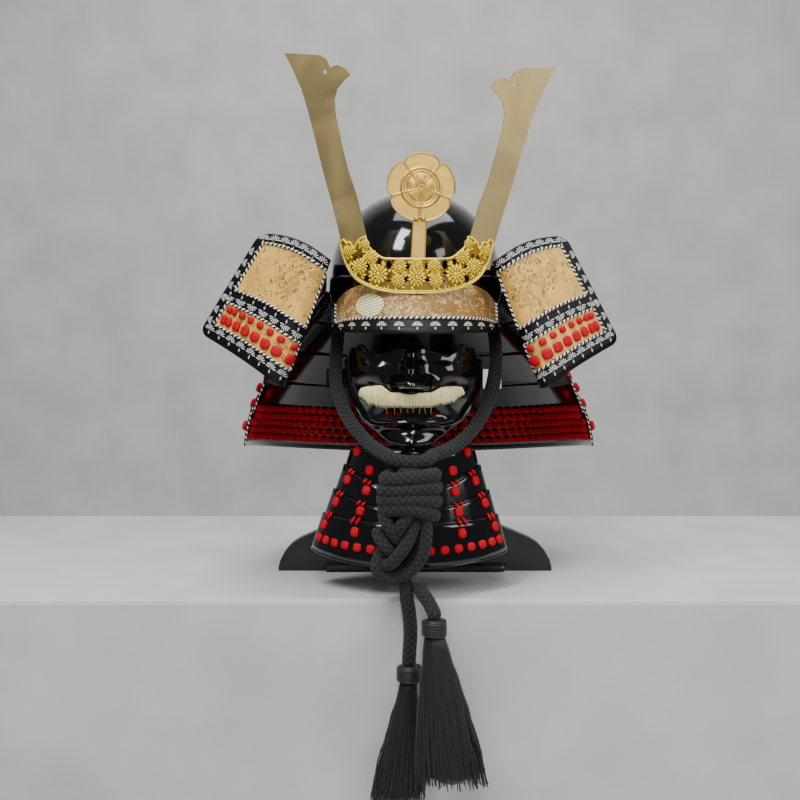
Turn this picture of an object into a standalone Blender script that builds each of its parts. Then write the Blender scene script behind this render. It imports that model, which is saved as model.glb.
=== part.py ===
"""Samurai helmet with its face mask, throat guard and tasselled chin cord, on its plain wooden stand.

Metres, +Z up. The front faces -Y. Left and right are as seen from the front, so left is -X.
The origin is the middle of the helmet in plan, on the surface that the stand's foot rests on.
The tassels hang lower than that surface, over its front edge.
"""

import math

import bmesh
import bpy
from mathutils import Matrix, Vector

# Clearances between pieces
FIT_GAP = 0.0004
LAME_GAP = 0.0007

# Helmet bowl and the plate round its foot
BOWL_HALF_WIDTH = 0.100
BOWL_HALF_LENGTH = 0.120
BOWL_DOME_HEIGHT = 0.100
BOWL_SPRING_Z = 0.350
BOWL_SKIRT = 0.022
BOWL_WALL = 0.0025
BOWL_SIDES = 28
BOWL_RINGS = 7
BAND_HEIGHT = 0.034
BAND_FLARE = 0.0015
BAND_WALL = 0.0018

# Peak over the brow
VISOR_SPAN = math.radians(66)
VISOR_ROOT_DROP = 0.008
VISOR_RIM_HALF_WIDTH = 0.0958
VISOR_REACH = 0.058
VISOR_DROP = 0.0545
VISOR_END_HEIGHT = 0.0185
VISOR_CROWN = 0.0020
VISOR_WALL = 0.0020

# Neck guard of five lames, each outside the one above
NECK_LAMES = 5
NECK_COLUMNS = 24
NECK_LAP_SHARE = 0.24
NECK_TOP_DROP = 0.016
NECK_HEIGHT = 0.174
NECK_DIP = 0.0425
NECK_FOOT_HALF_WIDTH = 0.194
NECK_RIGHT_FLARE = 0.008
NECK_FOOT_HALF_LENGTH = 0.206
NECK_FULLNESS = 1.6
NECK_END_ANGLE = math.radians(98)
LAME_WALL = 0.0016

# Rows of lacing on the inside of the two lowest lames
LACING_ROWS = 5
LACING_FOOT_SHARE = 0.040
LACING_PITCH_SHARE = 0.046
LACING_WIDTH_SHARE = 0.034
LACING_PROUD = 0.0034
LACING_PLAY = 0.0011

# Turned-back wings at the front ends of the neck guard
WING_WALL = 0.0026
WING_BEND_RADIUS = 0.018
WING_SWEEP = math.radians(30)
WING_CORNER_RADIUS = 0.011
WING_FRONT_Y = -0.125
WING_TOP_BOW = 0.0080
WING_FOOT_BOW = 0.0020
# Each wing's bend at its upper and lower end: its place, and the plate's width and tilt in degrees
WINGS = {
    # name: side, then x, height above the bowl's foot line, width, tilt at the top and at the foot
    "wing_left": (-1, (0.0935, 0.0155, 0.0860, 21), (0.1455, -0.1240, 0.1160, 31)),
    "wing_right": (1, (0.0835, 0.0135, 0.0875, 20), (0.1365, -0.1255, 0.1065, 29)),
}

# Crest holder: an openwork plate with raised chrysanthemums
HOLDER_HALF_WIDTH = 0.083
HOLDER_HEIGHT = 0.060
HOLDER_WALL = 0.0022
HOLDER_BEND_RADIUS = 0.20
HOLDER_STAND_OFF = 0.0205
PIN_HALF_WIDTH = 0.0045

# Outline of the holder's right half, from the middle of its foot: shares of half width and height
HOLDER_OUTLINE = (
    # across, up
    (0.00, 0.000),
    (0.30, 0.015),
    (0.58, 0.100),
    (0.80, 0.270),
    (0.93, 0.560),
    (1.00, 0.910),
    (0.92, 0.900),
    (0.81, 0.780),
    (0.74, 0.960),
    (0.665, 1.000),
    (0.62, 0.820),
    (0.47, 0.640),
    (0.34, 0.605),
    (0.00, 0.600),
)
# Raised flowers of the right half: shares of half width and height, radius as a share of height
HOLDER_FLOWERS = (
    # across, up, radius
    (0.222, 0.475, 0.088),
    (0.245, 0.225, 0.088),
    (0.500, 0.335, 0.118),
    (0.590, 0.640, 0.092),
    (0.740, 0.475, 0.095),
    (0.670, 0.880, 0.070),
    (0.890, 0.760, 0.080),
)
HOLDER_MIDDLE_FLOWER = (0.0, 0.27, 0.125)
# Gaps cut through the right half, in the same shares
HOLDER_GAPS = (
    # across, up, radius
    (0.125, 0.455, 0.042),
    (0.135, 0.130, 0.042),
    (0.360, 0.480, 0.052),
    (0.365, 0.170, 0.045),
    (0.500, 0.560, 0.040),
    (0.640, 0.270, 0.048),
    (0.655, 0.475, 0.034),
    (0.790, 0.640, 0.036),
    (0.840, 0.380, 0.036),
)
FLOWER_RISE = 0.0022

# Crest: a five-lobed flower on a flat stem
CREST_RADIUS = 0.0365
CREST_WALL = 0.0014
CREST_CENTRE_Z = BOWL_SPRING_Z + 0.0910
CREST_NOTCH_DEPTH = 0.0055
CREST_RING_RADIUS = 0.0215
CREST_RING_WIDTH = 0.0022
CREST_RELIEF = 0.0009
CREST_LOBES = 5
STEM_WIDTH = 0.0160
STEM_FOOT_Z = BOWL_SPRING_Z - 0.0120
STEM_WALL = 0.0014
CREST_LEAN = math.radians(2.5)

# Horns: flat sheet, each in a socket behind the holder
HORN_HEIGHT = 0.1950
HORN_FOOT_HALF_WIDTH = 0.0138
HORN_SPREAD = 0.0700
HORN_SOCKET_DEPTH = 0.024
HORN_WALL = 0.0016
HORN_CENTRE_X = 0.0685
HORN_PLAY = 0.0010
HORN_FORWARD_LEAN = math.radians(7)
HORN_HOLE_RADIUS = 0.0024
HORN_SEATS = {
    "horn_left": {"side": -1, "lean": math.radians(0), "lift": 0.0053},
    "horn_right": {"side": 1, "lean": math.radians(2.4), "lift": -0.0062},
}
# Outline above the socket: across in shares of the spread, up in shares of the height
HORN_OUTLINE = (
    # across, up
    (0.330, 0.187),
    (0.437, 0.345),
    (0.543, 0.524),
    (0.639, 0.680),
    (0.734, 0.806),
    (0.867, 0.918),
    (0.980, 0.998),
    (0.604, 0.984),
    (0.404, 0.974),
    (0.306, 0.953),
    (0.247, 0.905),
    (0.127, 0.918),
    (0.007, 0.897),
    (-0.071, 0.863),
    (0.049, 0.828),
    (0.150, 0.792),
    (0.203, 0.736),
    (0.194, 0.652),
    (0.127, 0.511),
    (0.040, 0.367),
    (-0.083, 0.223),
)
HORN_HOLE_PLACE = (0.335, 0.885)

# The mask and the throat guard are turned a little on the helmet
FACE_TURN_ANGLE = math.radians(-2.5)

# Face mask
MASK_CHIN_Z = 0.1560
MASK_HEIGHT = 0.1255
MASK_HALF_WIDTH = 0.0790
MASK_WIDEST_SHARE = 0.72
MASK_SIDE_Y = -0.055
MASK_WALL = 0.0024
MASK_JAW_RISE = 0.048
MASK_CHEEK_BULGE = 0.0045
MASK_COLUMNS = 28
MASK_ROWS = 14
MASK_REACH = 0.087
NOSE_REACH = 0.027
NOSE_HALF_WIDTH = 0.021
# Front profile of the mask, chin to brow, and the nose on it
MASK_PROFILE = (
    # up_share, reach_share, nose_share, nose_width_share
    (0.00, 0.86, 0.00, 0.90),
    (0.09, 1.00, 0.00, 0.90),
    (0.18, 0.94, 0.00, 0.90),
    (0.26, 1.00, 0.00, 0.90),
    (0.34, 0.95, 0.00, 0.90),
    (0.46, 0.97, 0.00, 1.00),
    (0.53, 0.97, 0.08, 1.00),
    (0.60, 0.96, 1.00, 0.90),
    (0.71, 0.93, 0.70, 0.50),
    (0.85, 0.89, 0.42, 0.40),
    (1.00, 0.85, 0.20, 0.45),
)
# Upper edge of the mask: how far it drops from the bridge of the nose to the temple
MASK_RIM = (
    # across as a share of the half width, drop as a share of the height
    (0.00, 0.000),
    (0.08, 0.004),
    (0.14, 0.060),
    (0.30, 0.130),
    (0.49, 0.172),
    (0.58, 0.138),
    (0.70, 0.070),
    (0.84, 0.105),
    (1.00, 0.240),
)
MOUTH_HALF_WIDTH = 0.031
MOUTH_HEIGHT = 0.0095
MOUTH_SHARE = 0.345
NOSTRIL_RADIUS = 0.0041
NOSTRIL_OFFSET = 0.0177
NOSTRIL_SHARE = 0.585
FLANGE_WIDTH = 0.021
FLANGE_HEIGHT = 0.022
FLANGE_TOP_SHARE = 0.700
FLANGE_WALL = 0.0020
MOUSTACHE_HALF_WIDTH = 0.0545
MOUSTACHE_PROUD = 0.0040
MOUSTACHE_STAND_OFF = 0.0032
MOUSTACHE_MID_SHARE = 0.458
MOUSTACHE_HEIGHT = 0.0145
MOUSTACHE_END_HEIGHT = 0.0105
MOUSTACHE_SMILE = 0.0078

# Throat guard of four lames that hang from the mask's chin
THROAT_HEIGHT = 0.1150
THROAT_TOP_HALF_WIDTH = 0.070
THROAT_FOOT_HALF_WIDTH = 0.1045
THROAT_DRIFT = -0.0040
THROAT_END_Y = -0.088
THROAT_FOOT_DEPTH = 0.056
THROAT_ARC = math.radians(72)
THROAT_SAG = 0.0280
THROAT_LAME_GAP = 0.0009
# Each lame's upper and lower edge, and how far each edge sags in the middle
THROAT_LAMES = (
    # top_share, foot_share, top_sag_share, foot_sag_share
    (0.00, 0.185, 0.00, 1.00),
    (0.135, 0.46, 1.00, 0.62),
    (0.39, 0.72, 0.65, 0.12),
    (0.645, 1.00, 0.08, 0.30),
)
THROAT_LACING_SHARE = 0.865
THROAT_LACING_WIDTH = 0.0095
THROAT_LACING_PROUD = 0.0036
THROAT_LACING_PLAY = 0.0008

# Chin cord, its knot and its tassels
CORD_DIAMETER = 0.0150
CORD_SIDES_RESOLUTION = 2
CORD_STEP = 0.030
KNOT_CENTRE_Y = -0.1775
WRAP_TOP_Z = 0.1500
WRAP_FOOT_Z = 0.0930
WRAP_HALF_WIDTH = 0.0355
WRAP_HALF_DEPTH = 0.0225
WRAP_TURNS = 4
WRAP_CENTRE_X = -0.008
BRAID_FOOT_Z = 0.0160
BRAID_HALF_WIDTH = 0.0285
BRAID_HALF_DEPTH = 0.0165
BRAID_TOP_X = -0.010
BRAID_FOOT_X = -0.021
KNOT_SIDES = 12
CHIN_CORD_ROUTES = {
    "chin_cord_left": (
        (-0.0878, -0.0180, 0.3290),
        (-0.0885, -0.0300, 0.3030),
        (-0.0900, -0.0460, 0.2768),
        (-0.0912, -0.0620, 0.2543),
        (-0.0905, -0.0715, 0.2309),
        (-0.0850, -0.0820, 0.2090),
        (-0.0730, -0.1010, 0.1869),
        (-0.0540, -0.1280, 0.1680),
        (-0.0410, -0.1480, 0.1600),
        (-0.0305, -0.1660, 0.1570),
    ),
    "chin_cord_right": (
        (0.0878, -0.0180, 0.3290),
        (0.0885, -0.0300, 0.3030),
        (0.0915, -0.0460, 0.2768),
        (0.0910, -0.0680, 0.2543),
        (0.0885, -0.0765, 0.2309),
        (0.0820, -0.0830, 0.2090),
        (0.0690, -0.1010, 0.1869),
        (0.0510, -0.1250, 0.1700),
        (0.0330, -0.1480, 0.1610),
        (0.0150, -0.1656, 0.1571),
    ),
}
CORD_END_ROUTES = {
    "cord_end_left": (
        (-0.0110, -0.1730, 0.0150),
        (-0.0108, -0.1731, 0.0060),
        (-0.0080, -0.1738, -0.0120),
        (-0.0068, -0.1740, -0.0300),
        (-0.0078, -0.1745, -0.0500),
        (-0.0084, -0.1750, -0.0600),
        (-0.0084, -0.1750, -0.0660),
    ),
    "cord_end_right": (
        (0.0042, -0.1792, 0.0148),
        (0.0110, -0.1900, 0.0070),
        (0.0162, -0.2000, -0.0010),
        (0.0175, -0.2040, -0.0045),
        (0.0175, -0.2040, -0.0090),
    ),
}
TASSEL_HEAD_RADIUS = 0.0125
TASSEL_HEAD_HEIGHT = 0.0165
TASSEL_LOCKS = 7
TASSEL_SIDES = 21
TASSEL_LOCK_DEPTH = 0.10
TASSEL_HALF_DEPTH = 0.0140
TASSELS = {
    "tassel_left": {"cord": "cord_end_left", "length": 0.138, "half_width": 0.029, "drift": -0.0125},
    "tassel_right": {"cord": "cord_end_right", "length": 0.1655, "half_width": 0.040, "drift": 0.019},
}

# Stand
FOOT_HALF_WIDTH = 0.108
FOOT_FRONT_Y = -0.022
FOOT_BACK_Y = 0.130
FOOT_THICKNESS = 0.0090
FOOT_ROUND = 0.004
BOARD_HALF_WIDTH = 0.1635
BOARD_HEIGHT = 0.0530
BOARD_THICKNESS = 0.016
BOARD_FRONT_Y = -0.0120
# Right half of the board's outline, from its end: shares of half width and height
BOARD_OUTLINE = (
    # across, up
    (1.000, 0.00),
    (1.000, 0.08),
    (0.985, 0.25),
    (0.950, 0.45),
    (0.900, 0.62),
    (0.840, 0.74),
    (0.760, 0.85),
    (0.640, 1.00),
)
POST_SIDE = 0.034
HEAD_BLOCK_FOOT_Z = BOWL_SPRING_Z + 0.54 * BOWL_DOME_HEIGHT
HEAD_BLOCK_HEIGHT = 0.22 * BOWL_DOME_HEIGHT
REST_HALF_WIDTH = 0.014
REST_THICKNESS = 0.014
REST_SHARE = 0.47
REST_PLAY = 0.0012
HEAD_BLOCK_PLAY = 0.0024

FINISHES = {
    # name: colour, roughness, metallic
    "black_lacquer": ((0.012, 0.012, 0.013), 0.12, 0.0),
    "printed_leather": ((0.62, 0.40, 0.14), 0.45, 0.2),
    "gilt_metal": ((0.86, 0.62, 0.14), 0.25, 1.0),
    "satin_brass": ((0.52, 0.43, 0.26), 0.38, 0.9),
    "red_lacing": ((0.60, 0.02, 0.03), 0.75, 0.0),
    "black_cord": ((0.030, 0.030, 0.032), 0.85, 0.0),
    "cream_hair": ((0.83, 0.76, 0.52), 0.70, 0.0),
    "black_wood": ((0.020, 0.020, 0.021), 0.35, 0.0),
}


def clear_scene():
    for obj in list(bpy.data.objects):
        bpy.data.objects.remove(obj)


def finish_material(name):
    """A Principled material with the finish's colour, roughness and metallic value."""
    made = bpy.data.materials.get(name)
    if made is None:
        colour, roughness, metallic = FINISHES[name]
        made = bpy.data.materials.new(name)
        made.use_nodes = True
        shader = made.node_tree.nodes["Principled BSDF"]
        shader.inputs["Base Color"].default_value = (*colour, 1.0)
        shader.inputs["Roughness"].default_value = roughness
        shader.inputs["Metallic"].default_value = metallic
    return made


def add_object(name, mesh, finish, smooth=True):
    mesh.materials.append(finish_material(finish))
    if smooth:
        mesh.shade_smooth()
        mesh.set_sharp_from_angle(angle=math.radians(40))
    obj = bpy.data.objects.new(name, mesh)
    bpy.context.scene.collection.objects.link(obj)
    return obj


def add_bmesh(name, bm, finish, smooth=True):
    mesh = bpy.data.meshes.new(name)
    bm.to_mesh(mesh)
    bm.free()
    return add_object(name, mesh, finish, smooth)


def sheet(name, across, along, place, wall, finish, side=-1.0):
    """A curved sheet. place(u, v), each 0 to 1, is one face of it, and side says which way its wall goes:
    -1 is against the direction of u crossed with v, and 1 along it."""
    bm = bmesh.new()
    bmesh.ops.create_grid(bm, x_segments=across, y_segments=along, size=0.5)
    for vert in bm.verts:
        vert.co = place(vert.co.x + 0.5, vert.co.y + 0.5)
    obj = add_bmesh(name, bm, finish)
    solid = obj.modifiers.new("Wall", "SOLIDIFY")
    solid.thickness = wall
    solid.offset = side
    solid.use_even_offset = True
    return obj


def loft(name, rings, finish):
    """A closed body through rings of equally many points, each capped at its ends."""
    bm = bmesh.new()
    rows = [[bm.verts.new(point) for point in ring] for ring in rings]
    count = len(rows[0])
    for upper, lower in zip(rows, rows[1:]):
        for i in range(count):
            j = (i + 1) % count
            bm.faces.new((upper[i], upper[j], lower[j], lower[i]))
    bm.faces.new(rows[0][::-1])
    bm.faces.new(rows[-1])
    bmesh.ops.recalc_face_normals(bm, faces=bm.faces)
    return add_bmesh(name, bm, finish)


def extruded(bm, outline, front, back):
    """Adds a prism to bm: the outline's (x, z) points between two planes square to Y."""
    face = bm.faces.new([bm.verts.new((x, front, z)) for x, z in outline])
    made = bmesh.ops.extrude_face_region(bm, geom=[face])
    moved = [item for item in made["geom"] if isinstance(item, bmesh.types.BMVert)]
    bmesh.ops.translate(bm, verts=moved, vec=(0.0, back - front, 0.0))


def plate(name, outline, front, back, finish):
    bm = bmesh.new()
    extruded(bm, outline, front, back)
    bmesh.ops.recalc_face_normals(bm, faces=bm.faces)
    return add_bmesh(name, bm, finish, smooth=False)


def block(name, low, high, finish):
    bm = bmesh.new()
    bmesh.ops.create_cube(bm, size=1.0)
    size = [b - a for a, b in zip(low, high)]
    bmesh.ops.scale(bm, verts=bm.verts, vec=size)
    bmesh.ops.translate(bm, verts=bm.verts, vec=[(a + b) / 2 for a, b in zip(low, high)])
    return add_bmesh(name, bm, finish, smooth=False)


def turned_shell(name, profile, stretch, wall, finish):
    """A profile of (radius, z) turned about Z, stretched along Y, with its wall inwards."""
    bm = bmesh.new()
    verts = [bm.verts.new((radius, 0.0, z)) for radius, z in profile]
    edges = [bm.edges.new(pair) for pair in zip(verts, verts[1:])]
    bmesh.ops.spin(bm, geom=verts + edges, cent=(0, 0, 0), axis=(0, 0, 1), dvec=(0, 0, 0),
                   angle=math.tau, steps=BOWL_SIDES, use_merge=True)
    bmesh.ops.remove_doubles(bm, verts=bm.verts, dist=1e-5)
    bmesh.ops.scale(bm, verts=bm.verts, vec=(1.0, stretch, 1.0))
    bmesh.ops.recalc_face_normals(bm, faces=bm.faces)
    obj = add_bmesh(name, bm, finish)
    solid = obj.modifiers.new("Wall", "SOLIDIFY")
    solid.thickness = wall
    solid.offset = -1.0
    solid.use_even_offset = True
    return obj


def helper(obj):
    """A cutter or a shape to be joined: it isn't a piece."""
    obj.hide_render = True
    obj.display_type = "WIRE"
    return obj


def combine(obj, other, operation):
    boolean = obj.modifiers.new(operation.title(), "BOOLEAN")
    boolean.operation = operation
    boolean.solver = "EXACT"
    boolean.object = helper(other)


def mixed(start, end, share):
    return start + (end - start) * share


def eased(share):
    return share * share * (3 - 2 * share)


def read_table(rows, at, column):
    """The table's value in that column at a place in its first column, eased between rows."""
    for low, high in zip(rows, rows[1:]):
        if at <= high[0]:
            share = max(0.0, (at - low[0]) / (high[0] - low[0]))
            return mixed(low[column], high[column], eased(share))
    return rows[-1][column]


def set_off(base, u, v, out):
    """The point base(u, v), moved by out along its surface's normal, du crossed with dv."""
    point = base(u, v)
    if out == 0.0:
        return point
    step = 1e-4
    along_u = base(u + step, v) - base(u - step, v)
    along_v = base(u, v + step) - base(u, v - step)
    return point + along_u.cross(along_v).normalized() * out


def smooth_route(points, step):
    """Points about a step apart on the smooth curve through the route's own points."""
    ends = [points[0] * 2 - points[1], *points, points[-1] * 2 - points[-2]]
    route = [points[0]]
    for before, start, end, after in zip(ends, ends[1:], ends[2:], ends[3:]):
        parts = max(1, round((end - start).length / step))
        for i in range(1, parts + 1):
            t = i / parts
            route.append(0.5 * (2 * start + (end - before) * t
                                + (2 * before - 5 * start + 4 * end - after) * t ** 2
                                + (3 * start - before - 3 * end + after) * t ** 3))
    return route


def cord(name, points):
    curve = bpy.data.curves.new(name, "CURVE")
    curve.dimensions = "3D"
    curve.bevel_depth = CORD_DIAMETER / 2
    curve.bevel_resolution = CORD_SIDES_RESOLUTION
    curve.use_fill_caps = True
    spline = curve.splines.new("POLY")
    spline.points.add(len(points) - 1)
    for place, point in zip(spline.points, points):
        place.co = (*point, 1.0)
    curve.materials.append(finish_material("black_cord"))
    obj = bpy.data.objects.new(name, curve)
    bpy.context.scene.collection.objects.link(obj)


# Bowl, the plate round its foot and the peak

def band_out(share):
    """How far the band's outer face stands outside the bowl, at a share of its height from the top."""
    return FIT_GAP + BAND_WALL + BAND_FLARE * share


def band_half_width(share):
    return BOWL_HALF_WIDTH + band_out(share)


def band_half_length(share):
    return band_half_width(share) * (BOWL_HALF_LENGTH + band_out(0.0)) / band_half_width(0.0)


def bowl():
    dome = [(BOWL_HALF_WIDTH * math.sin(math.pi / 2 * i / BOWL_RINGS),
             BOWL_SPRING_Z + BOWL_DOME_HEIGHT * math.cos(math.pi / 2 * i / BOWL_RINGS))
            for i in range(BOWL_RINGS + 1)]
    skirt = [(BOWL_HALF_WIDTH, BOWL_SPRING_Z - BOWL_SKIRT)]
    turned_shell("bowl", dome + skirt, BOWL_HALF_LENGTH / BOWL_HALF_WIDTH, BOWL_WALL, "black_lacquer")


def waist_band():
    profile = [(band_half_width(share), BOWL_SPRING_Z - BAND_HEIGHT * share) for share in (0.0, 0.5, 1.0)]
    turned_shell("waist_band", profile, band_half_length(0.0) / band_half_width(0.0), BAND_WALL,
                 "black_lacquer")


def visor_point(u, v):
    """A point of the peak's upper face: u from its left end to its right, v from its root to its rim."""
    angle = mixed(-VISOR_SPAN, VISOR_SPAN, u)
    rim_z = BOWL_SPRING_Z - VISOR_ROOT_DROP - VISOR_DROP
    height = mixed(VISOR_DROP, VISOR_END_HEIGHT, abs(2 * u - 1) ** 4)
    band_share = min(1.0, (BOWL_SPRING_Z - rim_z - height) / BAND_HEIGHT)
    root_out = 1.5 * FIT_GAP + 0.8 * VISOR_WALL
    root_x = (band_half_width(band_share) + root_out) * math.sin(angle)
    root_y = -(band_half_length(band_share) + root_out) * math.cos(angle)
    rim_x = VISOR_RIM_HALF_WIDTH * math.sin(angle) / math.sin(VISOR_SPAN)
    rim_y = -(band_half_length(1.0) + VISOR_WALL + VISOR_REACH) * math.cos(angle)
    z = rim_z + height * (1 - v) + VISOR_CROWN * math.sin(math.pi * v) * height / VISOR_DROP
    return Vector((mixed(root_x, rim_x, v), mixed(root_y, rim_y, v), z))


def visor():
    sheet("visor", 20, 3, visor_point, VISOR_WALL, "printed_leather", side=1.0)


# Neck guard

def neck_top_half_width():
    return band_half_width(NECK_TOP_DROP / BAND_HEIGHT) + FIT_GAP + LAME_WALL


def neck_top_half_length():
    return band_half_length(NECK_TOP_DROP / BAND_HEIGHT) + FIT_GAP + LAME_WALL


def neck_base(angle, drop):
    """A point of the neck guard's form: angle from the back, drop from 0 at its top to 1 at its foot."""
    spread = 1 - max(0.0, 1 - drop) ** NECK_FULLNESS
    foot_half_width = NECK_FOOT_HALF_WIDTH + NECK_RIGHT_FLARE * max(0.0, math.sin(angle)) ** 2
    half_width = mixed(neck_top_half_width(), foot_half_width, spread)
    half_length = mixed(neck_top_half_length(), NECK_FOOT_HALF_LENGTH, spread)
    dip = NECK_DIP * drop * ((1 + math.cos(angle)) / 2) ** 2
    z = BOWL_SPRING_Z - NECK_TOP_DROP - NECK_HEIGHT * drop - dip
    return Vector((half_width * math.sin(angle), half_length * math.cos(angle), z))


def lame_edges(index):
    """The drop at the upper and lower edge of a lame."""
    pitch = 1 / NECK_LAMES
    top = max(0.0, pitch * index - pitch * NECK_LAP_SHARE)
    return top, pitch * (index + 1)


def lame_out(index):
    return index * (LAME_WALL + LAME_GAP)


def neck_lame(index):
    top, foot = lame_edges(index)

    def place(u, v):
        angle = mixed(-NECK_END_ANGLE, NECK_END_ANGLE, u)
        return set_off(neck_base, angle, mixed(top, foot, v), lame_out(index))

    sheet(f"neck_lame_{index + 1}", NECK_COLUMNS, 2, place, LAME_WALL, "black_lacquer")


def neck_lacing(row):
    """A row of lacing on the inside of the lame that shows there, counted up from the foot."""
    middle = 1 - LACING_FOOT_SHARE - LACING_PITCH_SHARE * row
    half = LACING_WIDTH_SHARE / 2
    last = NECK_LAMES - 1
    index = last if middle - half > lame_edges(last - 1)[1] else last - 1
    out = lame_out(index) - LAME_WALL - LACING_PLAY
    # The rows stop one column short of each end, so their corners lie over the lame's.
    end = NECK_END_ANGLE * (1 - 2 / NECK_COLUMNS)

    def place(u, v):
        return set_off(neck_base, mixed(-end, end, u), mixed(middle - half, middle + half, v), out)

    sheet(f"neck_lacing_{row + 1}", NECK_COLUMNS - 2, 1, place, LACING_PROUD, "red_lacing")


# Turned-back wings

def wing_section(width):
    """The wing's section as (outward, forward) points from its bend: the bend, then the swept plate."""
    bend = [(WING_BEND_RADIUS * (1 - math.cos(a)), WING_BEND_RADIUS * (math.sin(a) - 1))
            for a in (math.radians(d) for d in (0, 22, 44, 68, 90))]
    start, plate_end = WING_BEND_RADIUS, width
    turn = [start + WING_BEND_RADIUS * math.sin(WING_SWEEP) * share for share in (0.5, 1.0)]
    turned = [(o, -WING_BEND_RADIUS + math.sqrt(WING_BEND_RADIUS ** 2 - (o - start) ** 2)) for o in turn]
    flat_start = plate_end - WING_CORNER_RADIUS
    outs = [mixed(turn[-1], flat_start, share) for share in (0.34, 0.67, 1.0)]
    outs += [flat_start + WING_CORNER_RADIUS * math.sin(math.radians(d)) for d in (30, 60, 90)]
    flat = [(o, turned[-1][1] - (o - turn[-1]) * math.tan(WING_SWEEP)) for o in outs]
    return bend + turned + flat


WING_LEAF_PARTS = 3


def wing_point(side, top, foot, u, v):
    """A point of the wing's visible face: u from the neck guard round the bend to the outer edge, v down."""
    section = wing_section(mixed(top[2], foot[2], v))
    columns = WING_LEAF_PARTS + len(section) - 1
    column = round(u * columns)
    if column >= WING_LEAF_PARTS:
        past = section[column - WING_LEAF_PARTS][0] - (section[-1][0] - WING_CORNER_RADIUS)
        inset = WING_CORNER_RADIUS - math.sqrt(max(0.0, WING_CORNER_RADIUS ** 2 - max(0.0, past) ** 2))
        v += (1 - 2 * v) * inset / (top[1] - foot[1])
    x, rise, width, tilt = [mixed(top[i], foot[i], v) for i in range(4)]
    tilt = math.radians(tilt)
    bend = Vector((x, WING_FRONT_Y, BOWL_SPRING_Z + rise))
    outward = Vector((math.cos(tilt), 0.0, math.sin(tilt)))
    if column >= WING_LEAF_PARTS:
        out, forward = wing_section(width)[column - WING_LEAF_PARTS]
        bow = mixed(WING_TOP_BOW, WING_FOOT_BOW, v) * math.sin(math.pi * out / width)
        point = bend + outward * out - Vector((bow * math.sin(tilt), forward, -bow * math.cos(tilt)))
    else:
        front = bend + Vector((0.0, WING_BEND_RADIUS, 0.0))
        point = mixed(wing_root(side, bend.z), front, column / WING_LEAF_PARTS)
    return Vector((side * point.x, point.y, point.z))


def wing_root(side, z):
    """Where the wing's leaf meets the neck guard's front end, at that height."""
    drop = min(1.0, max(0.0, (BOWL_SPRING_Z - NECK_TOP_DROP - z) / NECK_HEIGHT))
    end = neck_base(side * NECK_END_ANGLE, drop)
    return Vector((side * end.x, end.y - FIT_GAP, z))


def wing(name, side, top, foot):
    columns = WING_LEAF_PARTS + len(wing_section(top[2])) - 1
    sheet(name, columns, 5, lambda u, v: wing_point(side, top, foot, u, v), WING_WALL, "printed_leather",
          side=side)


# Crest holder, crest and horns

def holder_front_y(x):
    """The holder's front face: it bends back from its middle."""
    middle = -(band_half_length(1.0) + HOLDER_STAND_OFF)
    return middle + x * x / (2 * HOLDER_BEND_RADIUS)


def holder_foot_z():
    """The holder's foot stands on the peak, under the middle of the holder."""
    reach = (HOLDER_STAND_OFF - 2 * FIT_GAP - VISOR_WALL) / VISOR_REACH
    front = visor_point(0.5, reach).z
    back = visor_point(0.5, reach - HOLDER_WALL / VISOR_REACH).z
    return max(front, back) + FIT_GAP


def mirrored(rows):
    """The rows of a right half, and their mirror images."""
    return [(side * row[0], *row[1:]) for row in rows for side in (-1, 1)]


def cone(bm, radius, tip, rise, sides, place):
    """Adds a low cone frustum that points along -Y, with its base at that place."""
    turn = Matrix.Rotation(math.pi / 2, 4, "X")
    bmesh.ops.create_cone(bm, cap_ends=True, segments=sides, radius1=radius, radius2=tip, depth=rise,
                          matrix=Matrix.Translation(place) @ turn @ Matrix.Translation((0, 0, rise / 2)))


def crest_holder():
    foot = holder_foot_z()

    def place(across, up, y):
        return across * HOLDER_HALF_WIDTH, y, foot + up * HOLDER_HEIGHT

    right = [place(a, u, 0)[::2] for a, u in HOLDER_OUTLINE]
    left = [(-x, z) for x, z in right[::-1] if x > 0]
    flat = plate("crest_holder", right + left, 0.0, HOLDER_WALL, "gilt_metal")

    flowers = bmesh.new()
    for across, up, radius in mirrored(HOLDER_FLOWERS) + [HOLDER_MIDDLE_FLOWER]:
        size = radius * HOLDER_HEIGHT
        cone(flowers, size, size * 0.55, FLOWER_RISE + HOLDER_WALL / 2, 8, place(across, up, HOLDER_WALL / 2))
    combine(flat, add_bmesh("flowers", flowers, "gilt_metal"), "UNION")

    gaps = bmesh.new()
    for across, up, radius in mirrored(HOLDER_GAPS):
        size = radius * HOLDER_HEIGHT
        cone(gaps, size, size, 4 * HOLDER_WALL, 5, place(across, up, 2.5 * HOLDER_WALL))
    combine(flat, add_bmesh("gaps", gaps, "gilt_metal"), "DIFFERENCE")

    # The flat plate is cut first and then bent round the bowl.
    bpy.context.view_layer.update()
    made = bpy.data.meshes.new_from_object(flat.evaluated_get(bpy.context.evaluated_depsgraph_get()))
    bm = bmesh.new()
    bm.from_mesh(made)
    bmesh.ops.triangulate(bm, faces=bm.faces)
    for vert in bm.verts:
        vert.co.y += holder_front_y(vert.co.x)
    bpy.data.objects.remove(flat)
    add_bmesh("crest_holder", bm, "gilt_metal", smooth=False)


def stem_front_y():
    """The stem's front face, behind the holder's bent back."""
    return holder_front_y(STEM_WIDTH) + HOLDER_WALL + FIT_GAP


def holder_pin():
    """The hidden pin between the bowl's plate and the back of the crest's stem."""
    back = -band_half_length(PIN_HALF_WIDTH / BAND_HEIGHT) - FIT_GAP
    front = stem_front_y() + STEM_WALL + FIT_GAP
    middle = BOWL_SPRING_Z
    block("holder_pin", (-PIN_HALF_WIDTH, front, middle - PIN_HALF_WIDTH),
          (PIN_HALF_WIDTH, back, middle + PIN_HALF_WIDTH), "gilt_metal")


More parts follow.
